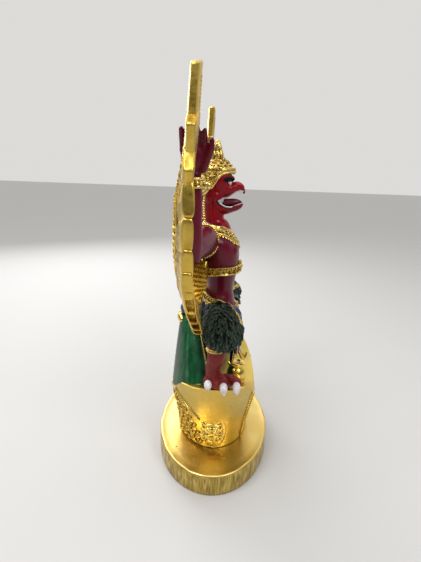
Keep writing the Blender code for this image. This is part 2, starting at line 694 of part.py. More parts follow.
def wing(side):
    thick = FEATHER_THICKNESS / unit
    for i, share in enumerate(FEATHER_SHARES):
        root, tip = throughPoints(WING_ROOTS, share), throughPoints(WING_TIPS, share)
        width = 8.2 + 2.6 * math.sin(math.pi * share)
        feather(f"primary_{side}_{i}", side, root, tip, width, thick, 0.35 * (i % 2), 3.0)
    seconds = len(FEATHER_SHARES) - 3
    for i in range(seconds):
        share = 0.10 + 0.84 * i / (seconds - 1)
        root, outer = throughPoints(WING_ROOTS, share), throughPoints(WING_TIPS, share)
        tip = root.lerp(outer, 0.62)
        feather(f"covert_{side}_{i}", side, root.lerp(outer, 0.02), tip, 8.0, 5.0, thick * 0.5, 2.0)
    scales = 9
    for i in range(scales):
        share = 0.05 + 0.90 * i / (scales - 1)
        root, outer = throughPoints(WING_ROOTS, share), throughPoints(WING_TIPS, share)
        tip = root.lerp(outer, 0.33)
        feather(f"scale_{side}_{i}", side, root.lerp(outer, -0.05), tip, 6.4, 4.0, thick * 0.7, 1.0)
    steps = 7
    spine = []
    for i in range(steps):
        root = throughPoints(WING_ROOTS, i / (steps - 1))
        spine.append(wingPoint(side, root.x - 2, root.z, 1.5))
    spine.append(at(side * 16, 8, 96))
    limb(f"wing_arm_{side}", spine, [(6.0, 5.2)] * steps + [(7, 7)], up=Vector((0, 1, 0)), sides=8)
    limb(
        f"wing_root_{side}",
        [at(side * 10, 8, 112), wingPoint(side, 30, 112, 0), wingPoint(side, 46, 122, 0)],
        [(11, 6), (10, 5), (6, 4)],
        up=Vector((0, 1, 0)), sides=8,
    )


def castAsOne(made, forms, triangles):
    """Melts the forms into the object's own mesh as one skin, with about so many triangles."""
    graph = bpy.context.evaluated_depsgraph_get()
    bm = bmesh.new()
    bm.from_mesh(made.data)
    for form in forms.objects:
        read = form.evaluated_get(graph)
        mesh = bpy.data.meshes.new_from_object(read)
        mesh.transform(form.matrix_world)
        bm.from_mesh(mesh)
        bpy.data.meshes.remove(mesh)
    bm.to_mesh(made.data)
    bm.free()
    skin = made.modifiers.new("one_skin", "REMESH")
    skin.mode = "VOXEL"
    skin.voxel_size = SKIN_GRAIN
    graph = bpy.context.evaluated_depsgraph_get()
    fine = bpy.data.meshes.new_from_object(made.evaluated_get(graph))
    made.modifiers.remove(skin)
    made.data = fine
    thin = made.modifiers.new("fewer_faces", "DECIMATE")
    thin.ratio = min(1.0, triangles / (2 * len(fine.polygons)))


def settle(made):
    """Applies the modifiers and sweeps away the crumbs that a cut leaves, keeping the largest body."""
    graph = bpy.context.evaluated_depsgraph_get()
    mesh = bpy.data.meshes.new_from_object(made.evaluated_get(graph))
    made.modifiers.clear()
    bm = bmesh.new()
    bm.from_mesh(mesh)
    bodies = []
    left = set(bm.verts)
    while left:
        body, edge = set(), [left.pop()]
        while edge:
            corner = edge.pop()
            body.add(corner)
            near = [e.other_vert(corner) for e in corner.link_edges]
            fresh = [v for v in near if v in left]
            left.difference_update(fresh)
            edge.extend(fresh)
        bodies.append(body)
    bodies.sort(key=len)
    crumbs = [v for body in bodies[:-1] for v in body]
    bmesh.ops.delete(bm, geom=crumbs, context="VERTS")
    bm.to_mesh(mesh)
    bm.free()
    made.data = mesh


def figure():
    made = torso()
    head()
    crown()
    jewellery()
    arms()
    legs()
    cloths()
    tail()
    for side in (-1, 1):
        wing(side)
    castAsOne(made, figureForms, FIGURE_TRIANGLES)
    core = pedestalCore("pedestal_clearance", GAP, cutters)
    knob = bud("bud_clearance", GAP, cutters)
    for clear in (core, knob):
        cut = made.modifiers.new(clear.name, "BOOLEAN")
        cut.operation = "DIFFERENCE"
        cut.object = clear
    settle(made)
    made.data.materials.append(paint("figure_red", (0.30, 0.02, 0.04), 0.3, 0.0))
    return made


disc()
pedestal()
figure()
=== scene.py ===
# The looks of the Garuda statue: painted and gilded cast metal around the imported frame.
# Lengths are millimetres, scaled by mm. z of the figure counts up from the pedestal's ends.
import math
import random

import bmesh
import bpy
from mathutils import Matrix, Vector
from mathutils.bvhtree import BVHTree


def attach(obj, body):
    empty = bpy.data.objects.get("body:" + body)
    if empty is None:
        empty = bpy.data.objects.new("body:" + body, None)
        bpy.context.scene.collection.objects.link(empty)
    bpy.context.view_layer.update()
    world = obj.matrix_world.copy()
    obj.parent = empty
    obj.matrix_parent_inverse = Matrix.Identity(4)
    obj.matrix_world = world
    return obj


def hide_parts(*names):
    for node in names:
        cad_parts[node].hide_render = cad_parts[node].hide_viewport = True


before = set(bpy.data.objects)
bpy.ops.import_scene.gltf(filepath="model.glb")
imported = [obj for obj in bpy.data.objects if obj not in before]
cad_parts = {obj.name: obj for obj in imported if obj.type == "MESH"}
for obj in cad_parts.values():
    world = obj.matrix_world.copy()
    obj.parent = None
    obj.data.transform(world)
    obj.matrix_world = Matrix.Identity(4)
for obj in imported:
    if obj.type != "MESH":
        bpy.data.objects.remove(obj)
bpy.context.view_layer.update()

mm = 0.001
stand = 85.0
discTop = 19.0
sides = (-1, 1)
scene = bpy.context.scene
figureNode, pedestalNode, discNode = "garuda_figure", "crescent_pedestal", "base_disc"


def at(x, y, z):
    # a place on the figure: x to its left, y to its back, z up from the pedestal's ends
    return Vector((x, y, z + stand)) * mm


def turns(count, shift=0.0):
    # angles once round in even steps; shift moves them on by a share of a step
    return [2 * math.pi * (i + shift) / count for i in range(count)]


def outward(angle):
    # level and away from the axis, where angle 0 is the statue's front
    return Vector((math.sin(angle), -math.cos(angle), 0))


def flip(i):
    return 1 if i % 2 else -1


def onSide(side, stations):
    # rows that start with x, as they are for the left side or mirrored for the right
    return [(side * row[0], *row[1:]) for row in stations]


def along(points, share):
    # a smooth curve through tuples of any length, read at a share of its way
    spans = len(points) - 1
    place = min(max(share, 0.0), 1.0) * spans
    i = min(int(place), spans - 1)
    t = place - i
    quad = (points[max(i - 1, 0)], points[i], points[i + 1], points[min(i + 2, spans)])
    return tuple(
        0.5 * (2 * q + (r - p) * t + (2 * p - 5 * q + 4 * r - s) * t * t + (3 * q - p - 3 * r + s) * t**3)
        for p, q, r, s in zip(*quad)
    )


def fine(points, count):
    return [along(points, i / (count - 1)) for i in range(count)]


def oval(centre, across, lift, count, power=2.0):
    ring = []
    for angle in turns(count, 0.5):
        c, s = math.cos(angle), math.sin(angle)
        shape = (abs(c) ** power + abs(s) ** power) ** (-1 / power)
        ring.append(centre + across * (c * shape) + lift * (s * shape))
    return ring


def addSkin(bm, rings, poles=(None, None), closed=False):
    rows = [[bm.verts.new(p) for p in ring] for ring in rings]
    count = len(rows[0])
    pairs = list(zip(rows, rows[1:]))
    if closed:
        pairs.append((rows[-1], rows[0]))
    for low, high in pairs:
        for i in range(count):
            j = (i + 1) % count
            bm.faces.new((low[i], low[j], high[j], high[i]))
    if closed:
        return
    for row, pole in zip((rows[0], rows[-1]), poles):
        if pole is None:
            bm.faces.new(row)
            continue
        tip = bm.verts.new(pole)
        for i in range(count):
            bm.faces.new((row[i], row[(i + 1) % count], tip))


def addLimb(bm, stations, up=(0, 0, 1), count=20, steps=0, blunt=0.7):
    # a smooth limb through (x, y, z, side radius, up radius) stations, with rounded ends
    line = fine(stations, steps or 5 * len(stations))
    spine = [at(*s[:3]) for s in line]
    up = Vector(up)
    rings, ends = [], []
    for i, point in enumerate(spine):
        tangent = (spine[min(i + 1, len(spine) - 1)] - spine[max(i - 1, 0)]).normalized()
        side = tangent.cross(up).normalized()
        lift = side.cross(tangent)
        across, rise = side * line[i][3] * mm, lift * line[i][4] * mm
        rings.append(oval(point, across, rise, count))
        if i in (0, len(spine) - 1):
            way = -tangent if i == 0 else tangent
            reach = min(line[i][3], line[i][4]) * blunt * mm
            caps = []
            for turn in (0.45, 0.9, 1.25):
                middle = point + way * reach * math.sin(turn)
                caps.append(oval(middle, across * math.cos(turn), rise * math.cos(turn), count))
            ends.append((caps, point + way * reach))
    (first, start), (last, finish) = ends
    addSkin(bm, first[::-1] + rings + last, (start, finish))


def addBall(bm, centre, radii, count=20):
    made = bmesh.ops.create_uvsphere(bm, u_segments=count, v_segments=count * 2 // 3, radius=1.0)
    size = Matrix.Diagonal((*[r * mm for r in radii], 1.0))
    bmesh.ops.transform(bm, matrix=Matrix.Translation(at(*centre)) @ size, verts=made["verts"])


def addShell(bm, sheets):
    # two equal grids of points, front and back, joined round their edges
    front, back = [[[bm.verts.new(p) for p in line] for line in sheet] for sheet in sheets]
    last = len(front[0]) - 1
    for sheet in (front, back):
        for a, b in zip(sheet, sheet[1:]):
            for i in range(last):
                bm.faces.new((a[i], b[i], b[i + 1], a[i + 1]))
    for a, b in ((front[0], back[0]), (front[-1], back[-1])):
        for i in range(last):
            bm.faces.new((a[i], a[i + 1], b[i + 1], b[i]))
    for i in (0, last):
        for k in range(len(front) - 1):
            bm.faces.new((front[k][i], front[k + 1][i], back[k + 1][i], back[k][i]))


def bandRing(centre, radiusX, radiusY, lifts, count):
    # points and outward directions round an oval band; lifts raise its front and its back
    ring = []
    for angle in turns(count):
        out = outward(angle)
        x = centre[0] + radiusX * out.x
        y = centre[1] + radiusY * out.y
        z = centre[2] + lifts[0] * max(-out.y, 0.0) ** 1.3 + lifts[1] * max(out.y, 0.0) ** 1.3
        ring.append((at(x, y, z), Vector((out.x / radiusX, out.y / radiusY, 0)).normalized()))
    return ring


def addBand(bm, look, count=96):
    # a band whose section is a plate with two raised rails
    half, thick = look["half"], look["thick"]
    section = (
        (-1.0, -1.0), (-1.06, 0.5), (-1.0, 1.0), (-0.84, 1.05), (-0.74, 0.35), (0.0, 0.45),
        (0.74, 0.35), (0.84, 1.05), (1.0, 1.0), (1.06, 0.5), (1.0, -1.0),
    )
    rings = []
    ring = bandRing(look["centre"], look["radiusX"], look["radiusY"], look["lifts"], count)
    for middle, out in ring:
        tilt = (Vector((0, 0, 1)) - out * look.get("lean", 0.0)).normalized()
        rings.append([middle + tilt * half * mm * a + out * thick * mm * b for a, b in section])
    addSkin(bm, rings, closed=True)


def toMesh(bm):
    bmesh.ops.recalc_face_normals(bm, faces=bm.faces)
    mesh = bpy.data.meshes.new("part")
    bm.to_mesh(mesh)
    bm.free()
    return mesh


def bakeObject(obj):
    graph = bpy.context.evaluated_depsgraph_get()
    mesh = bpy.data.meshes.new_from_object(obj.evaluated_get(graph))
    bpy.data.objects.remove(obj, do_unlink=True)
    return mesh


def helperObject(data):
    obj = bpy.data.objects.new("helper", data)
    scene.collection.objects.link(obj)
    return obj


def melt(bm, grain, passes=4):
    # forms that overlap become one flowing skin, as clay does
    obj = helperObject(toMesh(bm))
    skin = obj.modifiers.new("skin", "REMESH")
    skin.mode = "VOXEL"
    skin.voxel_size = grain * mm
    soft = obj.modifiers.new("soft", "SMOOTH")
    soft.factor = 0.5
    soft.iterations = passes
    return bakeObject(obj)


def joined(*meshes):
    bm = bmesh.new()
    for mesh in meshes:
        bm.from_mesh(mesh)
    mesh = bpy.data.meshes.new("part")
    bm.to_mesh(mesh)
    bm.free()
    return mesh


def paintPoints(mesh, choose):
    # choose gives the colour of a point from its number and its place
    layer = mesh.color_attributes.new("paint", "FLOAT_COLOR", "POINT")
    for i, point in enumerate(mesh.vertices):
        layer.data[i].color = (*choose(i, point.co), 1.0)


def addPiece(name, mesh, finish, node=figureNode, sharp=None):
    mesh.name = name
    mesh.materials.clear()
    mesh.materials.append(finish)
    for face in mesh.polygons:
        face.use_smooth = True
        face.material_index = 0
    if sharp:
        mesh.set_sharp_from_angle(angle=math.radians(sharp))
    obj = bpy.data.objects.new(name, mesh)
    scene.collection.objects.link(obj)
    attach(obj, "root")
    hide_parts(node)
    return obj


def feed(tree, slot, value):
    # a slot takes another node's socket, a colour or a number
    if isinstance(value, bpy.types.NodeSocket):
        tree.links.new(value, slot)
    elif slot.type == "RGBA":
        slot.default_value = (*value, 1.0)
    else:
        slot.default_value = value


def addNode(tree, kind, fed, **settings):
    made = tree.nodes.new(kind)
    for name, value in settings.items():
        setattr(made, name, value)
    for slot, value in fed.items():
        feed(tree, made.inputs[slot], value)
    return made


def mathNode(tree, operation, *values):
    return addNode(tree, "ShaderNodeMath", dict(enumerate(values)), operation=operation).outputs[0]


def newTree(name, inputs):
    # every size of a tree is a named input
    tree = bpy.data.node_groups.new(name, "GeometryNodeTree")
    kinds = {"geometry": "NodeSocketGeometry", "object": "NodeSocketObject", "number": "NodeSocketFloat",
             "count": "NodeSocketInt", "material": "NodeSocketMaterial"}
    for label, kind in inputs:
        tree.interface.new_socket(label, in_out="INPUT", socket_type=kinds[kind])
    tree.interface.new_socket("Geometry", in_out="OUTPUT", socket_type=kinds["geometry"])
    return tree, tree.nodes.new("NodeGroupInput").outputs


def endTree(tree, given, geometry):
    real = addNode(tree, "GeometryNodeRealizeInstances", {0: geometry})
    finish = addNode(tree, "GeometryNodeSetMaterial", {
        "Geometry": real.outputs[0], "Material": given["Finish"],
    })
    addNode(tree, "NodeGroupOutput", {0: finish.outputs[0]})
    return tree


def makeDressTree():
    # a motif on every point, turned by the point's own turn and stretched by its own reach
    tree, given = newTree("dressPoints", (
        ("Geometry", "geometry"), ("Motif", "object"), ("Size", "number"),
        ("Unevenness", "number"), ("Seed", "count"), ("Finish", "material"),
    ))
    motif = addNode(tree, "GeometryNodeObjectInfo", {"Object": given["Motif"], "As Instance": True})
    turn, reach = [
        addNode(tree, "GeometryNodeInputNamedAttribute", {"Name": name}, data_type="FLOAT_VECTOR")
        for name in ("turn", "reach")
    ]
    toRotation = addNode(tree, "FunctionNodeEulerToRotation", {0: turn.outputs["Attribute"]})
    chance = addNode(tree, "FunctionNodeRandomValue", {"Min": -1.0, "Max": 1.0, "Seed": given["Seed"]},
                     data_type="FLOAT")
    wobble = mathNode(tree, "MULTIPLY_ADD", chance.outputs["Value"], given["Unevenness"], 1.0)
    sized = mathNode(tree, "MULTIPLY", wobble, given["Size"])
    scaled = addNode(tree, "ShaderNodeVectorMath", {0: reach.outputs["Attribute"]}, operation="SCALE")
    feed(tree, scaled.inputs["Scale"], sized)
    spread = addNode(tree, "GeometryNodeInstanceOnPoints", {
        "Points": given["Geometry"], "Instance": motif.outputs["Geometry"],
        "Rotation": toRotation.outputs[0], "Scale": scaled.outputs[0],
    })
    return endTree(tree, given, spread.outputs[0])


def makeBeadTree():
    # round beads strung along a curve
    tree, given = newTree("stringBeads", (
        ("Geometry", "geometry"), ("Spacing", "number"), ("Radius", "number"), ("Finish", "material"),
    ))
    even = addNode(tree, "GeometryNodeResampleCurve", {}, mode="LENGTH")
    feed(tree, even.inputs["Curve"], given["Geometry"])
    feed(tree, even.inputs["Length"], given["Spacing"])
    ball = addNode(tree, "GeometryNodeMeshUVSphere", {"Segments": 8, "Rings": 6, "Radius": given["Radius"]})
    spread = addNode(tree, "GeometryNodeInstanceOnPoints", {
        "Points": even.outputs[0], "Instance": ball.outputs["Mesh"],
    })
    return endTree(tree, given, spread.outputs[0])


def makeRopeTree():
    # a twisted strand along a curve
    tree, given = newTree("twistRope", (
        ("Geometry", "geometry"), ("Step", "number"), ("Radius", "number"), ("Twist", "number"),
        ("Finish", "material"),
    ))
    even = addNode(tree, "GeometryNodeResampleCurve", {}, mode="LENGTH")
    feed(tree, even.inputs["Curve"], given["Geometry"])
    feed(tree, even.inputs["Length"], given["Step"])
    index = tree.nodes.new("GeometryNodeInputIndex")
    wind = mathNode(tree, "MULTIPLY", index.outputs[0], given["Twist"])
    tilt = addNode(tree, "GeometryNodeSetCurveTilt", {"Curve": even.outputs[0], "Tilt": wind})
    star = addNode(tree, "GeometryNodeCurveStar", {
        "Points": 3, "Inner Radius": mathNode(tree, "MULTIPLY", given["Radius"], 0.66),
        "Outer Radius": given["Radius"],
    })
    sweep = addNode(tree, "GeometryNodeCurveToMesh", {
        "Curve": tilt.outputs[0], "Profile Curve": star.outputs["Curve"], "Fill Caps": True,
    })
    return endTree(tree, given, sweep.outputs[0])


dressTree, beadTree, ropeTree = makeDressTree(), makeBeadTree(), makeRopeTree()
print("node trees made")


def runTree(obj, tree, values):
    mod = obj.modifiers.new(tree.name, "NODES")
    mod.node_group = tree
    for item in tree.interface.items_tree:
        if item.item_type == "SOCKET" and item.in_out == "INPUT" and item.name in values:
            mod[item.identifier] = values[item.name]
    return bakeObject(obj)


def dress(motif, spots, finish, unevenness, seed):
    # spots are (point, outward, along, (length, width, height)); the motif runs along X, out is Z
    mesh = bpy.data.meshes.new("spots")
    mesh.from_pydata([s[0] for s in spots], [], [])
    turn = mesh.attributes.new("turn", "FLOAT_VECTOR", "POINT")
    reach = mesh.attributes.new("reach", "FLOAT_VECTOR", "POINT")
    for i, (_, out, way, stretch) in enumerate(spots):
        out = out.normalized()
        run = (way - out * way.dot(out)).normalized()
        basis = Matrix((run, out.cross(run), out)).transposed()
        turn.data[i].vector = basis.to_euler()[:]
        reach.data[i].vector = stretch
    shape = helperObject(motif)
    made = runTree(helperObject(mesh), dressTree, {
        "Motif": shape, "Size": mm, "Unevenness": unevenness, "Seed": seed, "Finish": finish,
    })
    bpy.data.objects.remove(shape, do_unlink=True)
    return made


def curveThrough(points, cyclic=False):
    data = bpy.data.curves.new("line", "CURVE")
    data.dimensions = "3D"
    line = data.splines.new("POLY")
    line.points.add(len(points) - 1)
    line.use_cyclic_u = cyclic
    for spot, point in zip(line.points, points):
        spot.co = (*point, 1.0)
    return helperObject(data)


def beads(points, finish, radius, spacing, cyclic=False):
    return runTree(curveThrough(points, cyclic), beadTree, {
        "Spacing": spacing * mm, "Radius": radius * mm, "Finish": finish,
    })


def rope(points, finish, radius):
    return runTree(curveThrough(points), ropeTree, {
        "Step": 0.6 * mm, "Radius": radius * mm, "Twist": 0.5, "Finish": finish,
    })


def leafMotif():
    bm = bmesh.new()
    rings = []
    for share, swell, rise in ((0.0, 0.35, 0.5), (0.2, 0.85, 0.9), (0.5, 1.0, 1.0), (0.8, 0.6, 0.7)):
        x, half, up = share, 0.5 * swell, 0.35 * rise
        rings.append([Vector(p) for p in (
            (x, -half, 0), (x, -half * 0.5, up * 0.45), (x, 0, up), (x, half * 0.5, up * 0.45), (x, half, 0),
            (x, 0, -0.12),
        )])
    addSkin(bm, rings, (Vector((-0.08, 0, 0)), Vector((1.05, 0, 0.12))))
    return toMesh(bm)


def curlMotif():
    # a flame curl: a tapering hook
    bm = bmesh.new()
    rings = []
    count = 9
    for i in range(count):
        share = i / (count - 1)
        angle = -0.4 + 4.3 * share
        reach = 0.42 - 0.30 * share
        centre = Vector((0.5 - reach * math.cos(angle), reach * math.sin(angle) - 0.05, 0.12))
        out = Vector((-math.cos(angle), math.sin(angle), 0))
        thick = 0.13 * (1 - 0.55 * share)
        rings.append(oval(centre, out * thick, Vector((0, 0, thick * 1.5)), 5))
    addSkin(bm, rings, (rings[0][0].lerp(rings[0][2], 0.5), rings[-1][0].lerp(rings[-1][2], 0.5)))
    return toMesh(bm)


def scaleMotif():
    # a round-ended scale with a raised rim and a short rib
    bm = bmesh.new()
    outline = ((0.0, 0.42), (0.45, 0.5), (0.8, 0.36), (1.0, 0.0), (0.8, -0.36), (0.45, -0.5), (0.0, -0.42))
    low = [Vector((x, y, -0.2)) for x, y in outline]
    rim = [Vector((x, y, 0.16 + 0.1 * x)) for x, y in outline]
    dish = [Vector((0.08 + x * 0.76, y * 0.72, 0.04 + 0.1 * x)) for x, y in outline]
    addSkin(bm, [low, rim, dish], (None, Vector((0.4, 0, 0.2))))
    return toMesh(bm)


def plumeMotif():
    # a pointed feather with a shaft and notched vanes
    bm = bmesh.new()
    rings = []
    stations = ((0.0, 0.5), (0.16, 0.86), (0.3, 0.8), (0.45, 1.0), (0.58, 0.88), (0.72, 0.86), (0.86, 0.5))
    for share, swell in stations:
        half = 0.5 * swell
        bow = 0.10 * math.sin(math.pi * share)
        rings.append([Vector(p) for p in (
            (share + 0.05, -half, bow - 0.07), (share, -0.12, bow + 0.02), (share - 0.02, 0, bow + 0.12),
            (share, 0.12, bow + 0.02), (share + 0.05, half, bow - 0.07), (share, 0, bow - 0.14),
        )])
    addSkin(bm, rings, (Vector((-0.06, 0, 0)), Vector((1.04, 0, 0.0))))
    return toMesh(bm)


def newFinish(name, roughness, metallic=0.0, coat=0.0, shine=0.5):
    made = bpy.data.materials.new(name)
    made.use_nodes = True
    shader = made.node_tree.nodes["Principled BSDF"]
    for slot, value in (("Roughness", roughness), ("Metallic", metallic), ("Coat Weight", coat),
                        ("Specular IOR Level", shine), ("Coat Roughness", 0.08)):
        shader.inputs[slot].default_value = value
    return made, made.node_tree, shader


def objectPoints(tree, stretch):
    read = tree.nodes.new("ShaderNodeTexCoord")
    return addNode(tree, "ShaderNodeMapping", {
        "Vector": read.outputs["Object"], "Scale": stretch,
    }).outputs["Vector"]


def noise(tree, scale, detail=3.0, stretch=(1, 1, 1), twist=0.0):
    return addNode(tree, "ShaderNodeTexNoise", {
        "Vector": objectPoints(tree, stretch), "Scale": scale, "Detail": detail, "Distortion": twist,
    }).outputs["Fac"]


def ramp(tree, value, stops):
    made = tree.nodes.new("ShaderNodeValToRGB")
    marks = made.color_ramp.elements
    while len(marks) < len(stops):
        marks.new(0.5)
    for mark, (place, colour) in zip(marks, stops):
        mark.position = place
        mark.color = (*colour, 1.0)
    tree.links.new(value, made.inputs["Fac"])
    return made.outputs["Color"]


def mixColours(tree, share, first, second, kind="MIX"):
    made = addNode(tree, "ShaderNodeMix", {}, data_type="RGBA", blend_type=kind)
    for value, name in ((share, "Factor"), (first, "A"), (second, "B")):
        feed(tree, [s for s in made.inputs if s.name == name and s.enabled][0], value)
    return [s for s in made.outputs if s.enabled][0]


def mapRange(tree, value, low, high, toLow=0.0, toHigh=1.0):
    return addNode(tree, "ShaderNodeMapRange", {
        "Value": value, "From Min": low, "From Max": high, "To Min": toLow, "To Max": toHigh,
    }).outputs["Result"]


def addBump(tree, shader, value, strength, distance=0.0003):
    made = addNode(tree, "ShaderNodeBump", {"Strength": strength, "Distance": distance, "Height": value})
    feed(tree, shader.inputs["Normal"], made.outputs["Normal"])


def shadeInHollows(tree, low, high):
    # 0 in the hollows of a finely modelled surface, 1 on its ridges; it masks where painted shade darkens the
    # hollows
    read = tree.nodes.new("ShaderNodeNewGeometry")
    return mapRange(tree, read.outputs["Pointiness"], low, high)


def goldFinish(name, look):
    made, tree, shader = newFinish(name, 0.3, 1.0)
    cloud = noise(tree, look["cloud"], 4.0)
    tone = ramp(tree, cloud, ((0.35, look["deep"]), (0.65, look["bright"])))
    # painted shade: the hollows take a darker tone
    tone = mixColours(tree, shadeInHollows(tree, *look["hollowShadeRange"]), look["hollowShade"], tone)
    feed(tree, shader.inputs["Base Color"], tone)
    rub = noise(tree, look["cloud"] * 3, 3.0, (1, 1, 2))
    feed(tree, shader.inputs["Roughness"], mapRange(tree, rub, 0.3, 0.7, *look["gloss"]))
    addBump(tree, shader, noise(tree, look["grain"], 5.0), look["bump"])
    return made


def enamelFinish(name, look):
    made, tree, shader = newFinish(name, look["roughness"], 0.0, look["coat"], 0.2)
    cloud = noise(tree, look["cloud"], 5.0, twist=0.4)
    tone = ramp(tree, cloud, ((0.3, look["deep"]), (0.7, look["bright"])))
    # painted shade: the hollows take a darker tone
    tone = mixColours(tree, shadeInHollows(tree, 0.40, 0.5), look["hollowShade"], tone)
    feed(tree, shader.inputs["Base Color"], tone)
    addBump(tree, shader, noise(tree, look["grain"], 3.0), look["bump"])
    return made


def paintedFinish(name, look):
    # hand paint that the piece's own paint attribute lays out, with brush streaks over it
    made, tree, shader = newFinish(name, look["roughness"], 0.0, look["coat"], 0.15)
    read = addNode(tree, "ShaderNodeAttribute", {}, attribute_name="paint")
    cloud = noise(tree, look["cloud"], 5.0, look["stretch"], 0.5)
    shade = ramp(tree, cloud, ((0.3, look["shade"]), (0.7, look["light"])))
    tone = mixColours(tree, 1.0, read.outputs["Color"], shade, "MULTIPLY")
    feed(tree, shader.inputs["Base Color"], tone)
    addBump(tree, shader, noise(tree, look["grain"], 4.0, look["stretch"]), look["bump"])
    return made


# each finish has a bright and a deep tone in clouds, a tone of painted shade for its hollows, and a fine
# grain
goldLook = {
    "wingGold": {
        "bright": (0.76, 0.53, 0.11), "deep": (0.55, 0.36, 0.055), "hollowShade": (0.28, 0.15, 0.015),
        "hollowShadeRange": (0.44, 0.5), "gloss": (0.24, 0.42), "cloud": 60, "grain": 700, "bump": 0.25,
    },
    "jewelGold": {
        "bright": (0.86, 0.65, 0.22), "deep": (0.66, 0.46, 0.11), "hollowShade": (0.30, 0.17, 0.028),
        "hollowShadeRange": (0.42, 0.52), "gloss": (0.16, 0.34), "cloud": 90, "grain": 900, "bump": 0.3,
    },
    "pedestalGold": {
        "bright": (0.74, 0.55, 0.16), "deep": (0.63, 0.45, 0.10), "hollowShade": (0.35, 0.20, 0.03),
        "hollowShadeRange": (0.40, 0.49), "gloss": (0.26, 0.36), "cloud": 30, "grain": 600, "bump": 0.12,
    },
    "reliefGold": {
        "bright": (0.96, 0.74, 0.22), "deep": (0.86, 0.60, 0.12), "hollowShade": (0.46, 0.28, 0.03),
        "hollowShadeRange": (0.38, 0.49), "gloss": (0.14, 0.28), "cloud": 90, "grain": 900, "bump": 0.2,
    },
}
wingGold, jewelGold, pedestalGold, reliefGold = [
    goldFinish(name, look) for name, look in goldLook.items()
]

# each enamel also has a tone of painted shade for its hollows
enamelLook = {
    "bodyMaroon": {
        "bright": (0.145, 0.004, 0.020), "deep": (0.090, 0.002, 0.016), "hollowShade": (0.03, 0.001, 0.006),
        "roughness": 0.3, "coat": 0.14, "cloud": 40, "grain": 260, "bump": 0.15,
    },
    "shinRed": {
        "bright": (0.24, 0.022, 0.016), "deep": (0.13, 0.010, 0.010), "hollowShade": (0.06, 0.006, 0.006),
        "roughness": 0.5, "coat": 0.1, "cloud": 160, "grain": 600, "bump": 0.45,
    },
    "clawWhite": {
        "bright": (0.86, 0.83, 0.84), "deep": (0.62, 0.56, 0.60), "hollowShade": (0.35, 0.25, 0.28),
        "roughness": 0.35, "coat": 0.3, "cloud": 300, "grain": 800, "bump": 0.5,
    },
    "clothBlue": {
        "bright": (0.012, 0.035, 0.16), "deep": (0.004, 0.010, 0.055), "hollowShade": (0.002, 0.004, 0.02),
        "roughness": 0.3, "coat": 0.5, "cloud": 120, "grain": 500, "bump": 0.2,
    },
    "mouthDark": {
        "bright": (0.15, 0.006, 0.014), "deep": (0.07, 0.003, 0.008), "hollowShade": (0.01, 0.001, 0.002),
        "roughness": 0.4, "coat": 0.4, "cloud": 160, "grain": 500, "bump": 0.1,
    },
}
bodyMaroon, shinRed, clawWhite, clothBlue, mouthDark = [
    enamelFinish(name, look) for name, look in enamelLook.items()
]

paintLook = {
    "facePaint": {"shade": (0.80, 0.72, 0.72), "light": (1.0, 1.0, 1.0), "roughness": 0.28, "coat": 0.12,
                  "cloud": 90, "stretch": (1, 1, 1), "grain": 350, "bump": 0.12},
    "plumePaint": {"shade": (0.45, 0.45, 0.45), "light": (1.15, 1.15, 1.15), "roughness": 0.5, "coat": 0.1,
                   "cloud": 260, "stretch": (1, 1, 0.35), "grain": 900, "bump": 0.6},
    "tailPaint": {"shade": (0.38, 0.42, 0.40), "light": (1.5, 1.35, 1.4), "roughness": 0.4, "coat": 0.15,
                  "cloud": 190, "stretch": (1, 1, 0.55), "grain": 500, "bump": 0.5},
}
facePaint, plumePaint, tailPaint = [
    paintedFinish(name, look) for name, look in paintLook.items()
]
print("finishes made")
# the motifs have a few dozen faces each and are one unit long along X
leaf, curl, scaleShape, plume = leafMotif(), curlMotif(), scaleMotif(), plumeMotif()


# torso rows are (height, half width, half depth, y), limb rows (x, y, height, side radius, up radius)
bodyLook = {
    "torso": (
        (44, 13, 11, -1), (52, 19, 15, -1), (62, 18.5, 13, -1), (70, 15.5, 12, -1), (80, 18, 13.5, -1),
        (92, 22.5, 15.5, -1), (106, 26, 16.5, 0), (116, 26, 14, 2), (124, 20, 10.5, 5), (130, 11, 8.5, 6),
    ),
    "upperArm": (
        (18, 11.5, 116.5, 10.2, 12), (32, 13.5, 117, 11, 12.4), (50, 16, 116, 9, 9.6),
        (60, 17.5, 115, 7.6, 7.8), (67, 18.5, 114, 6.8, 6.8),
    ),
    "foreArm": (
        (66, 18.5, 111, 6.8, 6.4), (69, 18.6, 124, 7.3, 7.1), (70.6, 18.4, 138, 6.4, 6.4),
        (71.5, 17.8, 152, 5.5, 5.6), (72.5, 18, 170, 4.5, 4.6),
    ),
    "thumb": (
        (73.5, 12.5, 173, 3.4, 3.2), (75.5, 9.4, 180, 2.6, 2.6), (77, 7.2, 186, 2.4, 2.4),
        (78, 6.6, 192, 1.6, 1.6),
    ),
    "fingerLengths": (9.5, 12.5, 12.5, 10.0),
    "grain": 0.85,
}


def addTorso(bm):
    rings = []
    for z, halfX, halfY, y in fine(bodyLook["torso"], 46):
        rings.append(oval(at(0, y, z), Vector((halfX * mm, 0, 0)), Vector((0, halfY * mm, 0)), 48, 2.15))
    addSkin(bm, rings)
    for side in sides:
        addBall(bm, (side * 9.5, -11.2, 107), (9.5, 4.6, 7.5))


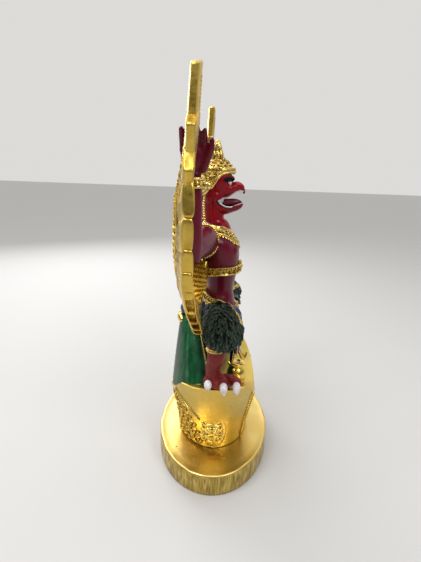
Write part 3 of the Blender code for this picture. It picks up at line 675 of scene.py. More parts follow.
def makeBody():
    look = bodyLook
    bm = bmesh.new()
    addTorso(bm)
    addLimb(bm, ((0, 7, 118, 11.5, 9.0), (0, 7.4, 126, 8.0, 6.6), (0, 7.5, 136, 5.6, 5.4)), (0, 1, 0), 32)
    for side in sides:
        addLimb(bm, onSide(side, look["upperArm"]))
        addLimb(bm, onSide(side, look["foreArm"]), (0, 1, 0))
        addBall(bm, (side * 73.5, 18.8, 180.5), (4.4, 8.8, 10))
        addBall(bm, (side * 70.6, 13.5, 177), (3.4, 3.6, 6.4))
        for k, reach in enumerate(look["fingerLengths"]):
            y = 12.2 + 4.5 * k
            spread = 0.3 * (k - 1.5)
            addLimb(bm, onSide(side, (
                (74, y, 184, 2.5, 2.5), (75, y + spread, 185 + reach * 0.45, 2.15, 2.15),
                (77, y + spread, 186 + reach * 0.75, 2.3, 2.3), (80, y + 2 * spread, 188 + reach, 1.6, 1.6),
            )), (0, 1, 0), 12)
        addLimb(bm, onSide(side, look["thumb"]), (0, 1, 0), 12)
    addPiece("bodyAndArms", melt(bm, look["grain"], 5), bodyMaroon)


# beak rows are (y, height, half width, half height) and lip rows (y, height), from the cheek to the tip
headLook = {
    # shadeRed is painted shade: on the mouth's floor and on the lower beak under the upper one
    "red": (0.27, 0.003, 0.010), "shadeRed": (0.12, 0.002, 0.007), "black": (0.006, 0.006, 0.008),
    "white": (0.62, 0.66, 0.69), "beakTip": (0.05, 0.002, 0.006),
    "upper": (
        (3, 158.5, 10.2, 10), (-1, 158.8, 9.6, 8.8), (-5, 158.2, 8.6, 6.8), (-7.4, 157.8, 7.8, 5.4),
        (-10, 159.2, 7.0, 5.1), (-13, 159.9, 5.8, 4.5), (-16, 159.4, 4.2, 3.6), (-17.8, 158.8, 2.4, 2.5),
    ),
    "lower": (
        (8, 145.5, 9, 9), (3, 144, 8.8, 9), (-3, 143.2, 8.2, 7), (-7, 143, 7, 5.5), (-10.4, 143.6, 6, 4.7),
        (-13.8, 144.4, 4.8, 4.1), (-16.7, 145.6, 3.0, 3.2),
    ),
    "upperLip": (
        (3.6, 148.4), (0, 149.8), (-4.5, 151.3), (-8, 153.3), (-11.2, 155.6), (-14.5, 156.9),
        (-17.4, 156.2),
    ),
    "lowerLip": (
        (3.6, 148.0), (0, 145.0), (-3.3, 143.6), (-6.7, 143.3), (-10.9, 144.2), (-15.1, 145.5),
        (-17.8, 146.8),
    ),
    "grain": 0.42,
}


def nearLine(point, line):
    # distance in the side view, in mm, from a point to a line of (y, z)
    y, z = point.y / mm, point.z / mm - stand
    best = 99.0
    for a, b in zip(line, line[1:]):
        run = (b[0] - a[0], b[1] - a[1])
        size = run[0] ** 2 + run[1] ** 2
        share = min(max(((y - a[0]) * run[0] + (z - a[1]) * run[1]) / size, 0.0), 1.0)
        best = min(best, math.hypot(y - a[0] - run[0] * share, z - a[1] - run[1] * share))
    return best


def atDepth(rows, y):
    # the row of numbers that belongs to y, between the rows of a list that runs towards -y
    for a, b in zip(rows, rows[1:]):
        if b[0] <= y <= a[0]:
            share = (a[0] - y) / (a[0] - b[0])
            return [p + (q - p) * share for p, q in zip(a, b)]
    return list(rows[-1] if y < rows[-1][0] else rows[0])


def lipEdge(part, y):
    # half width and height of the beak's cut edge at y
    z = atDepth(headLook[part + "Lip"], y)[1]
    middle, halfX, halfZ = atDepth(headLook[part], y)[1:]
    return halfX * math.sqrt(max(1 - ((z - middle) / halfZ) ** 2, 0.05)), z


def addNeck(bm):
    addLimb(bm, (
        (0, 2.0, 119, 14.0, 12.0), (0, 2.8, 124, 12.0, 10.6), (0, 5.2, 128, 9.9, 9.0),
        (0, 6.6, 132, 8.8, 8.4), (0, 6.9, 138, 8.6, 8.5), (0, 7.4, 144, 8.7, 8.5), (0, 8, 150, 9, 8.8),
    ), (0, 1, 0), 32)


def faceColour(i, point):
    look = headLook
    x, y, z = abs(point.x) / mm, point.y / mm, point.z / mm - stand
    (topEdge, top), (lowEdge, low) = lipEdge("upper", y), lipEdge("lower", y)
    if y < -17.2 and 150 < z < 156.2:
        return look["beakTip"]
    # inside the open beak: white corner, then painted shade as a dark red floor and a black roof
    if -18.2 < y < 3.6 and low - 0.35 < z < top + 0.35:
        if x > 5.4 and y > -3.0:
            return look["white"]
        if z < low + 0.6 and x < lowEdge - 0.8 and y < -2:
            return look["shadeRed"]
        if x < topEdge - 1.0 and z > low + 0.6:
            return look["black"]
    # white lines on the lips, edged with black lines, with black painted shade just inside the upper lip
    upper, lower = nearLine(point, look["upperLip"]), nearLine(point, look["lowerLip"])
    if upper < 0.75 and y < 1.0 and x > topEdge - 1.2:
        return look["white"]
    if lower < 0.7 and -8.0 < y < 2.6 and x > lowEdge - 1.4:
        return look["white"]
    # painted shade: black on the underside just inside the upper lip, where the mouth is dark
    if upper < 1.0 and x < topEdge - 1.0 and y < -2:
        return look["black"]
    if (lower < 1.7 and -8.0 < y) or (upper < 1.3 and y > 0.5):
        return look["black"]
    # the white of the eye below its black brow
    if 161.0 < z < 163.9 and abs(y + 6.1) < 0.55 * (z - 160.8) and x > 4:
        return look["white"]
    if math.hypot((y + 5.3) / 5.0, (z - 165.6) / 2.5) < 1.0 and x > 1.5:
        return look["black"]
    # painted shade: the lower beak under the upper one is darker red
    if 140 < z < 152 and y < -3.0:
        return tuple(a + (b - a) * 0.5 for a, b in zip(look["red"], look["shadeRed"]))
    return look["red"]


def makeHead():
    look = headLook
    bm = bmesh.new()
    addNeck(bm)
    addBall(bm, (0, 5, 164), (12.5, 13.5, 13.5), 36)
    addBall(bm, (0, 7, 151), (11, 9.5, 10.5), 32)
    for part, pole in (("upper", (0, -18.9, 158.0)), ("lower", (0, -18.4, 146.2))):
        rings = []
        for y, z, a, b in fine(look[part], 30):
            ring = oval(at(0, y, z), Vector((a * mm, 0, 0)), Vector((0, 0, b * mm)), 32)
            cut = at(0, 0, lipEdge(part, y)[1]).z
            for vertex in ring:
                vertex.z = max(vertex.z, cut) if part == "upper" else min(vertex.z, cut)
            rings.append(ring)
        addSkin(bm, rings, (None, at(*pole)))
    addLimb(bm, ((0, -16.0, 158.4, 2.2, 2.2), (0, -17.9, 156.2, 1.4, 1.4), (0, -18.0, 154.5, 0.6, 0.6)),
            (0, 1, 0), 12)
    for side in sides:
        # the nostril and the brow
        addBall(bm, (side * 4.4, -12.2, 161.4), (1.6, 2.8, 1.6), 12)
        addLimb(bm, onSide(side, (
            (2.0, -8.4, 166.0, 1.5, 1.3), (6.0, -7.2, 167.6, 1.8, 1.5), (10.0, -2.6, 168.6, 1.6, 1.4),
            (12, 2, 167.6, 1.2, 1.2),
        )), count=12)
    mesh = melt(bm, look["grain"], 2)
    paintPoints(mesh, faceColour)
    addPiece("headAndBeak", mesh, facePaint)
    bm = bmesh.new()
    addLimb(bm, ((0, 0, 146, 4.8, 3.4), (0, -6, 146.6, 4.2, 3.4), (0, -10.5, 147.4, 3.4, 2.8),
                 (0, -14, 147.6, 2.2, 1.8), (0, -16.2, 147.3, 1.0, 0.8)), count=20)
    addPiece("tongue", toMesh(bm), mouthDark)
    bm = bmesh.new()
    for side in sides:
        for part, first, last in (("upper", 0.5, -16.8), ("lower", 1.5, -8.5)):
            way = []
            for i in range(24):
                y = first + (last - first) * i / 23
                x, z = lipEdge(part, y)
                way.append((side * x, y, z, 0.5, 0.45))
            addLimb(bm, way, count=10)
        for y, long in ((-11.6, 1.2), (-14.6, 2.2)):  # two teeth
            x, z = lipEdge("upper", y)
            addLimb(bm, onSide(side, ((x - 0.5, y, z, 0.7, 0.7), (x - 0.7, y - 0.3, z - long, 0.2, 0.2))),
                    (0, 1, 0), 8)
        addBall(bm, (side * 7.9, -6.1, 162.9), (0.8, 0.9, 1.2), 12)
    addPiece("lipsAndEyes", toMesh(bm), clawWhite)


# tiers are (height, radius), and the rim is (x, y, height) from the brow past the ear to the nape
crownLook = {
    "tiers": (
        (197.8, 0.3), (197.2, 1.3), (194.0, 2.1), (190.2, 2.7), (186.6, 3.4), (186.0, 3.9), (185.0, 4.0),
        (182.4, 4.8), (181.0, 6.2), (179.8, 8.8), (177.5, 11.6), (174.8, 13.7), (170.8, 14.2), (167.5, 11.5),
    ),
    "centreY": 5.6, "capY": 6.2,
    "rim": (
        (0, -9.9, 172.0), (4.5, -9.2, 172.2), (8.4, -6.4, 171.8), (12, -0.6, 170.6), (13.2, 3.6, 167.4),
        (13.4, 6.8, 162.6), (13.2, 9.6, 158.8), (12.8, 12.6, 158.4), (11.9, 15, 160.4), (8, 19, 163),
        (0, 20.4, 163.6),
    ),
    # count, radius, height, length, lean, width, share of a step that the row is turned by
    "leafRows": (
        (22, 13.4, 173.4, 5.2, 0.8, 4.2, 0.0), (17, 10.4, 177.4, 5.0, 1.3, 3.8, 0.5),
        (6, 5.4, 179.0, 11.0, 0.16, 6.0, 0.5), (5, 4.6, 179.4, 8.0, 0.18, 3.2, 0.5),
        (5, 3.6, 185.0, 11.0, 0.13, 4.6, 0.5), (5, 2.4, 189.6, 7.6, 0.08, 2.2, 0.5),
    ),
    "leafDepth": 2.6,
    # radius to the side, radius to the front, height, count
    "curlRows": (
        (7.4, 7.8, 180.6, 14), (10.2, 10.6, 178.8, 20), (12.6, 12.8, 176.4, 26), (13.9, 14.2, 173.8, 28),
        (13.8, 14.0, 171, 30), (13.4, 14.2, 167.6, 30), (13.4, 14.2, 164.0, 28), (13.2, 13.8, 160.6, 24),
    ),
    "curlSize": 4.6,
    # height of the root, then y, height and width of the flame
    "earFlames": (
        (160.5, 25.5, 163, 3.4), (159.3, 23.5, 157.5, 3.0), (162.1, 21.5, 168, 2.8), (157.9, 20, 153.5, 2.4),
    ),
}


def rimHeight(y):
    rim = crownLook["rim"]
    for a, b in zip(rim, rim[1:]):
        if a[1] <= y <= b[1]:
            return a[2] + (b[2] - a[2]) * (y - a[1]) / max(b[1] - a[1], 0.01)
    return rim[0][2] if y < 0 else rim[-1][2]


def makeCrown():
    look = crownLook
    up = Vector((0, 0, 1))
    bm = bmesh.new()
    rings = []
    for z, radius in look["tiers"]:
        centre = at(0, look["centreY"], z)
        rings.append(oval(centre, Vector((radius * mm, 0, 0)), Vector((0, radius * mm, 0)), 40))
    addSkin(bm, rings)
    addBall(bm, (0, look["capY"], 165), (13.6, 14.4, 13.2), 36)
    # the cap ends at the rim that dips to the ears
    for vert in bm.verts:
        limit = rimHeight(vert.co.y / mm) - 1.5
        if vert.co.z / mm - stand < limit:
            vert.co.z = at(0, 0, limit).z
            vert.co.x *= 0.93
    parts = [toMesh(bm)]
    spots, curls = [], []
    for count, radius, z, reach, lean, size, shift in look["leafRows"]:
        for angle in turns(count, shift):
            out = outward(angle)
            point = at(radius * out.x, look["centreY"] + radius * out.y, z)
            spots.append((point, out + up * lean, up - out * lean, (reach, size, look["leafDepth"])))
    size = look["curlSize"]
    for radiusX, radiusY, z, count in look["curlRows"]:
        for i, angle in enumerate(turns(count)):
            out = outward(angle)
            y = look["capY"] + radiusY * out.y
            if z < rimHeight(y) + 4.2:
                continue
            way = up + Vector((out.y, -out.x, 0)) * 0.8 * flip(i)
            lean = up * (0.6 if z > 173 else 0.1)
            curls.append((at(radiusX * out.x * 1.02, y, z), out + lean, way, (size, size * flip(i), 3.4)))
    parts.append(dress(leaf, spots, jewelGold, 0.06, 3))
    parts.append(dress(curl, curls, jewelGold, 0.1, 4))
    bm = bmesh.new()
    for side in sides:
        for lift, thick in ((0.0, 0.95), (2.6, 0.85)):
            wide = 1 + 0.004 * lift
            way = [(x * wide, y + 0.15 * lift, z + lift, thick, thick) for x, y, z in look["rim"]]
            addLimb(bm, onSide(side, way), count=10, steps=60)
        for k, (low, reach, climb, width) in enumerate(look["earFlames"]):
            root = (side * 12.4, 13, low)
            tip = (side * (15 - k), reach, climb)
            middle = tuple((a + b) / 2 for a, b in zip(root, tip))
            bend = (middle[0] + side * 1.4, middle[1], middle[2] + (1.6 if climb > 158 else -1.6))
            flame = ((*root, 1.6, width), (*bend, 1.5, width * 0.95), (*tip, 0.4, 0.5))
            addLimb(bm, flame, count=12, steps=14)
        addBall(bm, (side * 13.8, 12.6, 160.4), (2.2, 3.6, 3.6), 16)
    # the leaf over the brow
    addLimb(bm, ((0, -8.4, 171.0, 5.0, 1.4), (0, -9.2, 173.2, 3.8, 1.3), (0, -8.8, 175.2, 1.6, 0.8)),
            (0, 1, 0), 14)
    parts.append(toMesh(bm))
    for side in sides:
        nape = fine(((11.4, 14, 158), (10.2, 15.4, 147), (10.8, 14.6, 136), (12.6, 13.0, 127)), 30)
        parts.append(beads([at(*p) for p in onSide(side, nape)], jewelGold, 1.15, 2.0))
    addPiece("crownAndEarFlames", joined(*parts), jewelGold)


# the collar's edges are (height at the sides, change at the front, change at the back)
jewelLook = {
    "chestBand": {
        "centre": (0, -1.2, 90.4), "radiusX": 22.8, "radiusY": 16.6, "lifts": (0.4, -4), "half": 3.3,
        "thick": 1.4,
    },
    "belt": {
        "centre": (0, -0.8, 61.8), "radiusX": 20.2, "radiusY": 15.5, "lifts": (-10.2, 4.6), "half": 3.0,
        "thick": 1.5, "lean": 0.15,
    },
    "collarTop": (127.4, -3.6, 2.4), "collarFoot": (121.5, -13.0, 1.6),
    "collarSection": (
        (0.0, -0.9), (-0.02, 0.7), (0.05, 1.5), (0.15, 1.4), (0.20, 0.6), (0.5, 0.8), (0.78, 0.6),
        (0.82, 1.4), (0.93, 1.5), (1.0, 0.7), (1.0, -0.9),
    ),
    "collarCurls": 52, "collarLeaves": 56,
    "bosses": ((-18.2, 91, -19.0), (-17.0, 52.0, -18.0)),  # y, height, y of its leaves
    "bossSize": 4.6,
    "shoulderBead": 1.15,
}


def bandPattern(look, count, seed):
    # curls in the sunk field of a band
    spots = []
    size = 3.9
    ring = bandRing(look["centre"], look["radiusX"], look["radiusY"], look["lifts"], count)
    for i, (middle, out) in enumerate(ring):
        after = ring[(i + 1) % count][0]
        way = (after - middle).normalized() + Vector((0, 0, 0.9 * flip(i)))
        spots.append((middle + out * look["thick"] * 0.35 * mm, out, way, (size, size * flip(i), size)))
    return dress(curl, spots, jewelGold, 0.08, seed)


def collarPoint(skin, angle, share, lift):
    # on the neck and shoulders, from the collar's upper edge at share 0 to its lower edge at share 1
    out = outward(angle)
    heights = []
    for middle, front, back in (jewelLook["collarTop"], jewelLook["collarFoot"]):
        heights.append(middle + front * max(-out.y, 0.0) ** 1.6 + back * max(out.y, 0.0))
    axis = at(0, 3.0, heights[0] + (heights[1] - heights[0]) * share)
    hit, normal = skin.ray_cast(axis + out * 0.06, -out)[:2]
    return hit + normal * lift * mm, normal


def makeCollar(bm):
    # a sunk field between raised rails, and the curls and leaf points that fill and edge it
    look = jewelLook
    base = bmesh.new()
    addTorso(base)
    addNeck(base)
    skin = BVHTree.FromBMesh(base)
    base.free()
    rings = []
    for angle in turns(120):
        rings.append([collarPoint(skin, angle, share, lift)[0] for share, lift in look["collarSection"]])
    addSkin(bm, rings, closed=True)
    curls, leaves = [], []
    for i, angle in enumerate(turns(look["collarCurls"], 0.5)):
        wide = max(math.cos(angle), 0.0)
        size = 2.9 + 0.9 * wide
        for share in ((0.32, 0.52, 0.70) if wide > 0.35 else (0.5,)):
            point, out = collarPoint(skin, angle, share, 0.5)
            after = collarPoint(skin, angle + 0.05, share, 0.5)[0]
            way = (after - point).normalized() + Vector((0, 0, 0.8 * flip(i)))
            curls.append((point, out, way, (size, size * flip(i), size * 0.9)))
    for angle in turns(look["collarLeaves"]):
        point, out = collarPoint(skin, angle, 0.95, 0.5)
        low = collarPoint(skin, angle, 1.1, 0.3)[0]
        leaves.append((point, out, low - point, (2.6, 2.2, 2.6)))
    return [dress(curl, curls, jewelGold, 0.08, 8), dress(leaf, leaves, jewelGold, 0.05, 9)]


def makeBandsAndBelt():
    # bosses, the curls in both bands, the leaf hem under the belt and beads along the chest band
    look = jewelLook
    chest, belt = look["chestBand"], look["belt"]
    bm = bmesh.new()
    addBand(bm, chest)
    addBand(bm, belt)
    size = look["bossSize"]
    spots, hem = [], []
    for y, z, leafY in look["bosses"]:
        addBall(bm, (0, y, z), (size * 0.5, 2.6, size * 0.5), 20)
        addBall(bm, (0, y + 0.8, z), (size, 1.6, size * 1.1), 24)
        for angle in turns(9):
            way = Vector((math.cos(angle), 0, math.sin(angle)))
            centre = at(way.x * 2.4, leafY, z + way.z * 2.4 * 1.1)
            spots.append((centre, Vector((0, -1, 0)) + way * 0.4, way, (3.4, 2.4, 3.0)))
    ring = bandRing(belt["centre"], belt["radiusX"] + 0.6, belt["radiusY"] + 0.6, belt["lifts"], 40)
    for i, (middle, out) in enumerate(ring):
        point = middle - Vector((0, 0, belt["half"] * 0.9 * mm))
        hem.append((point, out, Vector((0, 0, -1)) + out * 0.25, (5.4 if i % 2 else 4.0, 3.2, 3.0)))
    parts = [
        toMesh(bm), dress(leaf, spots, jewelGold, 0.05, 5), dress(leaf, hem, jewelGold, 0.06, 10),
        bandPattern(chest, 44, 6), bandPattern(belt, 40, 7),
    ]
    x, y, z = chest["centre"]
    for shift in (-3.1, 3.1):
        ring = bandRing((x, y, z + shift), 24.2, 18.0, chest["lifts"], 80)
        parts.append(beads([p for p, _ in ring], jewelGold, 0.55, 1.25, True))
    return parts


def makeShoulderBeads(side):
    ring = []
    for angle in turns(52):
        x = 26.5 - 2.5 * math.sin(angle) + 1.4 * math.cos(angle)
        ring.append(at(side * x, 13 + 11.6 * math.cos(angle), 116.8 + 13.0 * math.sin(angle)))
    return beads(ring, jewelGold, jewelLook["shoulderBead"], 2.05, True)


def makeWristScrolls(side):
    scrolls = []
    for i, angle in enumerate(turns(12)):
        out = Vector((math.cos(angle), math.sin(angle), 0))
        way = Vector((-out.y, out.x, 0.5 * flip(i)))
        point = at(side * 72.2 + 6.4 * out.x, 17.9 + 6.4 * out.y, 164.5)
        scrolls.append((point, out, way, (5.0, 5.0 * flip(i), 4.0)))
    return dress(curl, scrolls, jewelGold, 0.08, 12)


def makeThighTrim(side):
    # the gold edge that the feathers of the thigh start from
    trim = []
    for i, (x, y, z, a, b) in enumerate(fine(legLook["thigh"], 60)[4:44]):
        turn = math.radians(28 + 30 * i / 39)
        trim.append(at(side * x, y - (a + 1.4) * math.sin(turn), z + (b + 1.4) * math.cos(turn)))
    tips = []
    for a, b in zip(trim[1::2], trim[2::2]):
        tips.append(((a + b) / 2, Vector((0, -0.7, 0.7)), Vector((side * 0.2, -0.6, -0.8)), (3.6, 3.0, 2.6)))
    return [rope(trim, jewelGold, 1.0), dress(leaf, tips, jewelGold, 0.08, 13)]


def makeJewellery():
    bm = bmesh.new()
    parts = makeCollar(bm)
    parts.append(toMesh(bm))
    parts.extend(makeBandsAndBelt())
    for side in sides:
        parts.append(makeShoulderBeads(side))
        parts.extend(limbHoop(side, (59.8, -1, 36.4), (-0.1, 0, 1), 7.4, 1.0))  # ankle
        parts.extend(limbHoop(side, (72.2, 17.9, 164.5), (0.06, 0.03, 1), 5.6, 2.6))  # wrist
        parts.append(makeWristScrolls(side))
        parts.extend(makeThighTrim(side))
    addPiece("collarBandsAndBelt", joined(*parts), jewelGold)


def limbHoop(side, centre, axis, radius, thick):
    # a ring of two rails with beads between, round a limb
    axis = Vector((side * axis[0], axis[1], axis[2])).normalized()
    first = axis.orthogonal().normalized()
    second = axis.cross(first)
    middle = at(side * centre[0], centre[1], centre[2])
    outs = [first * math.cos(angle) + second * math.sin(angle) for angle in turns(36)]
    bm = bmesh.new()
    for shift in (-1, 1):
        rings = []
        for out in outs:
            point = middle + axis * thick * shift * mm + out * radius * mm
            rings.append(oval(point, out * thick * 0.6 * mm, axis * thick * 0.55 * mm, 8))
        addSkin(bm, rings, closed=True)
    line = [middle + out * (radius + thick * 0.3) * mm for out in outs]
    return [toMesh(bm), beads(line, jewelGold, thick * 0.62, thick * 1.15, True)]


# limb rows are (x, y, height, side radius, up radius)
legLook = {
    "thigh": (
        (8, 0, 49.5, 12, 11), (26, -3, 50.5, 13, 12), (44, -5, 50.5, 14.5, 13), (57, -5.5, 49.5, 14.5, 13),
        (65, -5.5, 49, 10, 10),
    ),
    "shin": (
        (60, -2, 44, 8, 8), (60, -1.6, 36, 7.4, 7.8), (59.5, -1, 28, 6.6, 7.0), (56.5, 1, 18, 5.8, 6.2),
        (54, 0, 8, 6.4, 7.0),
    ),
    "toes": ((4.6, 61.0, 2.4), (-8.2, 64.0, 0.8), (-18.6, 61.5, 0.6)),  # y, reach, height of the claw
    "plumeRows": 19, "plumeLength": 8.2, "plumeWidth": 3.1,
    "kneeRows": ((78, 27), (66, 26), (54, 23), (42, 20), (30, 16), (18, 10), (6, 4)),  # degrees, count
    "plumeDark": (0.005, 0.009, 0.008), "plumeGreen": (0.014, 0.045, 0.027),
    "plumeBrush": (0.17, 0.21, 0.165),
}


def makeLegs():
    look = legLook
    bm = bmesh.new()
    for side in sides:
        addLimb(bm, onSide(side, look["shin"]), (0, 1, 0))
        addBall(bm, (side * 54, -4.5, 4.5), (8.6, 11, 6.2), 24)
        for spread, reach, _ in look["toes"]:
            root = -4.5 + 0.45 * (spread + 4.5)
            addLimb(bm, onSide(side, (
                (53.5, root, 7.0, 4.6, 4.2), (reach - 8, spread * 0.7 - 1.4, 7.6, 3.6, 3.4),
                (reach - 4, spread, 6.8, 4.2, 3.9), (reach, spread, 4.6, 3.2, 3.0),
            )), count=16)
            for x in (reach - 9, reach - 6, reach - 3):  # folds of skin across the toe
                y = root + (spread - root) * (x - 53.5) / (reach - 53.5)
                addLimb(bm, onSide(side, (
                    (x, y - 2.6, 9.2, 1.0, 0.9), (x + 0.6, y, 11.0, 1.2, 1.0), (x, y + 2.6, 9.2, 1.0, 0.9),
                )), count=8)
        hindToe = ((50, 0, 5, 3.4, 3.2), (45, 1, 2, 2.8, 2.8), (42, 1, -2.0, 1.6, 1.6))
        addLimb(bm, onSide(side, hindToe), count=14)
    addPiece("shinsAndFeet", melt(bm, 0.64, 2), shinRed)
    bm = bmesh.new()
    for side in sides:
        for spread, reach, low in look["toes"]:
            addLimb(bm, onSide(side, (
                (reach - 0.5, spread, 5.6, 3.4, 3.0), (reach + 2.2, spread - 0.2, 5.6, 3.6, 3.2),
                (reach + 3.9, spread - 0.4, 2.8 + 0.4 * low, 3.0, 2.4),
                (reach + 4.3, spread - 0.8, low, 1.2, 0.9),
            )), (0, 1, 0), 16)
    addPiece("claws", toMesh(bm), clawWhite)
    makeThighs()


def thighAims(side):
    # where the thigh's plumes point, in rows along the thigh and then round the knee
    look = legLook
    aims = []
    for row in range(look["plumeRows"]):
        share = 0.06 + 0.76 * row / (look["plumeRows"] - 1)
        place = along(look["thigh"], share)[:3]
        for angle in turns(int(19 + 10 * share), 0.5 * (row % 2)):
            aims.append((place, Vector((0.12 * side, -math.sin(angle), math.cos(angle)))))
    for polar, count in look["kneeRows"]:
        c, s = math.cos(math.radians(polar)), math.sin(math.radians(polar))
        for angle in turns(count, 0.5 * (count % 2)):
            aims.append(((58, -5.5, 49.5), Vector((side * c, -s * math.sin(angle), s * math.cos(angle)))))
    return aims


def makeThighs():
    look = legLook
    random.seed(7)
    bm = bmesh.new()
    for side in sides:
        addLimb(bm, onSide(side, look["thigh"]), count=32)
    core = melt(bm, 1.0, 3)
    skin = BVHTree.FromPolygons([v.co for v in core.vertices], [f.vertices[:] for f in core.polygons])
    spots = []
    for side in sides:
        for (x, y, z), aim in thighAims(side):
            hit, out = skin.ray_cast(at(side * x, y, z) + aim * 0.06, -aim)[:2]
            if hit is None:
                continue
            sway = 0.2 * aim.y + random.uniform(-0.42, 0.42)
            way = Vector((side * (0.5 - 0.25 * max(0.0, -aim.z)), sway, -0.85))
            run = (way - out * way.dot(out)).normalized()
            lift = random.uniform(0.08, 0.2)
            long = look["plumeLength"] * random.uniform(0.85, 1.12)
            if hit.z < at(0, 0, 41).z:
                long *= 0.7
            tilt = (out - run * lift).normalized()
            spots.append((hit - out * 0.0006, tilt, run + out * lift, (long, look["plumeWidth"], 5.6)))
    mesh = joined(core, dress(plume, spots, plumePaint, 0.08, 11))
    first, each = len(core.vertices), len(plume.vertices)

    def plumeColour(i, _):
        # dry-brushed ribs and tips over dark green
        colour = Vector(look["plumeDark"])
        if i < first:
            return colour
        number, k = divmod(i - first, each)
        spot = plume.vertices[k].co
        colour = colour.lerp(Vector(look["plumeGreen"]), 0.25 + 0.6 * ((number * 37) % 11) / 10)
        streak = 0.0
        if abs(spot.y) < 0.05 and spot.z > 0:
            streak = 0.55
        if abs(spot.y) > 0.3 and number % 3:
            streak = 0.35
        if spot.x > 0.9:
            streak = 0.8
        return colour.lerp(Vector(look["plumeBrush"]), streak * (0.5 + 0.5 * ((number * 13) % 7) / 6))

    paintPoints(mesh, plumeColour)
    addPiece("thighFeathers", mesh, plumePaint)


def addCloth(bm, line, face, folds, count, rows):
    # a hanging cloth strip with folds; line is (x, y, height, half width, thickness)
    face = Vector(face).normalized()
    side = face.cross(Vector((0, 0, 1))).normalized()
    rings = []
    for s in fine(line, rows):
        centre = at(*s[:3])
        front, back = [], []
        for i in range(count):
            u = -1 + 2 * i / (count - 1)
            wave = 0.7 * s[4] * math.sin(folds * math.pi * u) * (1 - 0.3 * abs(u))
            edge = s[4] * 0.5 * (1 - 0.5 * u * u)
            front.append(centre + side * s[3] * u * mm + face * (wave + edge) * mm)
            back.append(centre + side * s[3] * u * mm + face * (wave - edge) * mm)
        rings.append(front + back[::-1])
    addSkin(bm, rings)


clothLook = {
    "front": (
        (0, -14.2, 55, 9, 2.2), (0, -16, 40, 9.6, 2.4), (0, -16.5, 22, 9, 2.4), (0, -15.8, 8, 6.5, 2.2),
        (0, -15.0, -4, 1.2, 1.6),
    ),
    "sideInner": (
        (8, -13, 50, 5, 1.8), (12, -16, 36, 6, 2), (16, -18.4, 24, 5.2, 2.2), (17, -18.8, 13, 3.2, 1.6),
    ),
    "hip": ((13, -10, 57, 5, 2), (18, -14, 57, 5.4, 2), (22, -18, 53, 4.4, 2), (25, -20.5, 46, 1.0, 1.4)),
}


def makeCloths():
    bm = bmesh.new()
    addCloth(bm, clothLook["front"], (0, -1, 0), 3, 17, 28)
    for side in sides:
        for key in ("sideInner", "hip"):
            addCloth(bm, onSide(side, clothLook[key]), (side * 0.45, -1, 0), 2, 13, 20)
    addPiece("blueCloths", toMesh(bm), clothBlue)
    # the gold curl in front, the knot behind and the bead hems
    bm = bmesh.new()
    addLimb(bm, ((0, -15.5, 27, 5.5, 2.2), (0, -19, 15, 6, 2.4), (0, -23, 6, 5.2, 2.4), (0, -25.5, 1, 4, 2.2),
                 (0, -28, 2.6, 2.6, 1.8), (0, -29.2, 6.6, 1.0, 0.9)), (0, 1, 0), 18, 40)
    addBall(bm, (0, 33.5, 39.5), (7.5, 4.4, 4.4), 20)
    addLimb(bm, ((-8, 32, 39, 3.2, 3.0), (-4, 34, 41.5, 3.6, 3.4), (0, 34.6, 38.5, 3.0, 3.0),
                 (4, 34, 41.5, 3.6, 3.4), (8, 32, 39, 3.2, 3.0)), (0, 1, 0), 16)
    parts = [toMesh(bm)]
    for side in sides:
        for key in ("front", "hip", "sideInner"):
            line = onSide(side if key != "front" else 1, clothLook[key])
            edge = [at(x + side * half, y - 0.4, z) for x, y, z, half, _ in fine(line, 30)]
            parts.append(beads(edge, jewelGold, 0.75, 1.5))
    addPiece("clothHemsAndKnot", joined(*parts), jewelGold)
    bm = bmesh.new()
    addBall(bm, (0, 30, 47.5), (8.5, 5, 5.2), 20)
    addLimb(bm, ((-14, 14, 50, 4, 4), (-9, 25, 49, 4, 4), (0, 31, 49, 4.4, 4.4), (9, 25, 49, 4, 4),
                 (14, 14, 50, 4, 4)), count=16)
    addLimb(bm, ((0, 6, 56, 14, 11), (0, 19, 52, 12, 9), (0, 26, 45, 12, 6)), count=24)
    addPiece("backSash", melt(bm, 0.8, 3), clothBlue)


tailLook = {
    # deep is painted shade for the grooves between the plumes; edge is a painted highlight on the rims and
    # crests
    "green": (0.005, 0.088, 0.028), "deep": (0.002, 0.030, 0.014), "edge": (0.20, 0.36, 0.26),
    "top": 44.0, "plumes": 3, "thick": 4.0, "columns": 216, "rows": 60, "hem": 0.9,
}


def saddle(x):
    reach = min(abs(x) / 51.0, 1.0)
    return -25.0 * (1 - reach**2)


def tailLobe(turn):
    # 0 in the grooves between the tail's plumes, 1 on their crests; turn runs from -1 to 1
    return abs(math.sin(math.pi * tailLook["plumes"] * (turn + 1) / 2))


def tailPoint(face, share, turn):
    # on the outer face 0 or the inner face 1, from the top at share 0 to the foot at share 1
    look = tailLook
    angle = turn * math.radians(98 + 5 * abs(turn) ** 6)
    push = -look["thick"] / 2
    if face == 0:
        flute = 0.8 * tailLobe(turn) ** 0.7 * share**0.6
        barb = 0.16 * math.sin(share * 150 + 7 * tailLobe(turn))
        push = look["thick"] / 2 - 0.2 + flute * 0.9 + barb
    push *= 1.0 - 0.75 * max(0.0, abs(turn) - 0.965) / 0.035
    x = (13 + 36.5 * share**0.8 + push) * math.sin(angle)
    y = 20 - 10 * share + (12 + 17 * share**0.9 + push) * math.cos(angle)
    seat = saddle(50 * math.sin(angle)) - 1.0
    return at(x, y, look["top"] + (seat - look["top"]) * share)


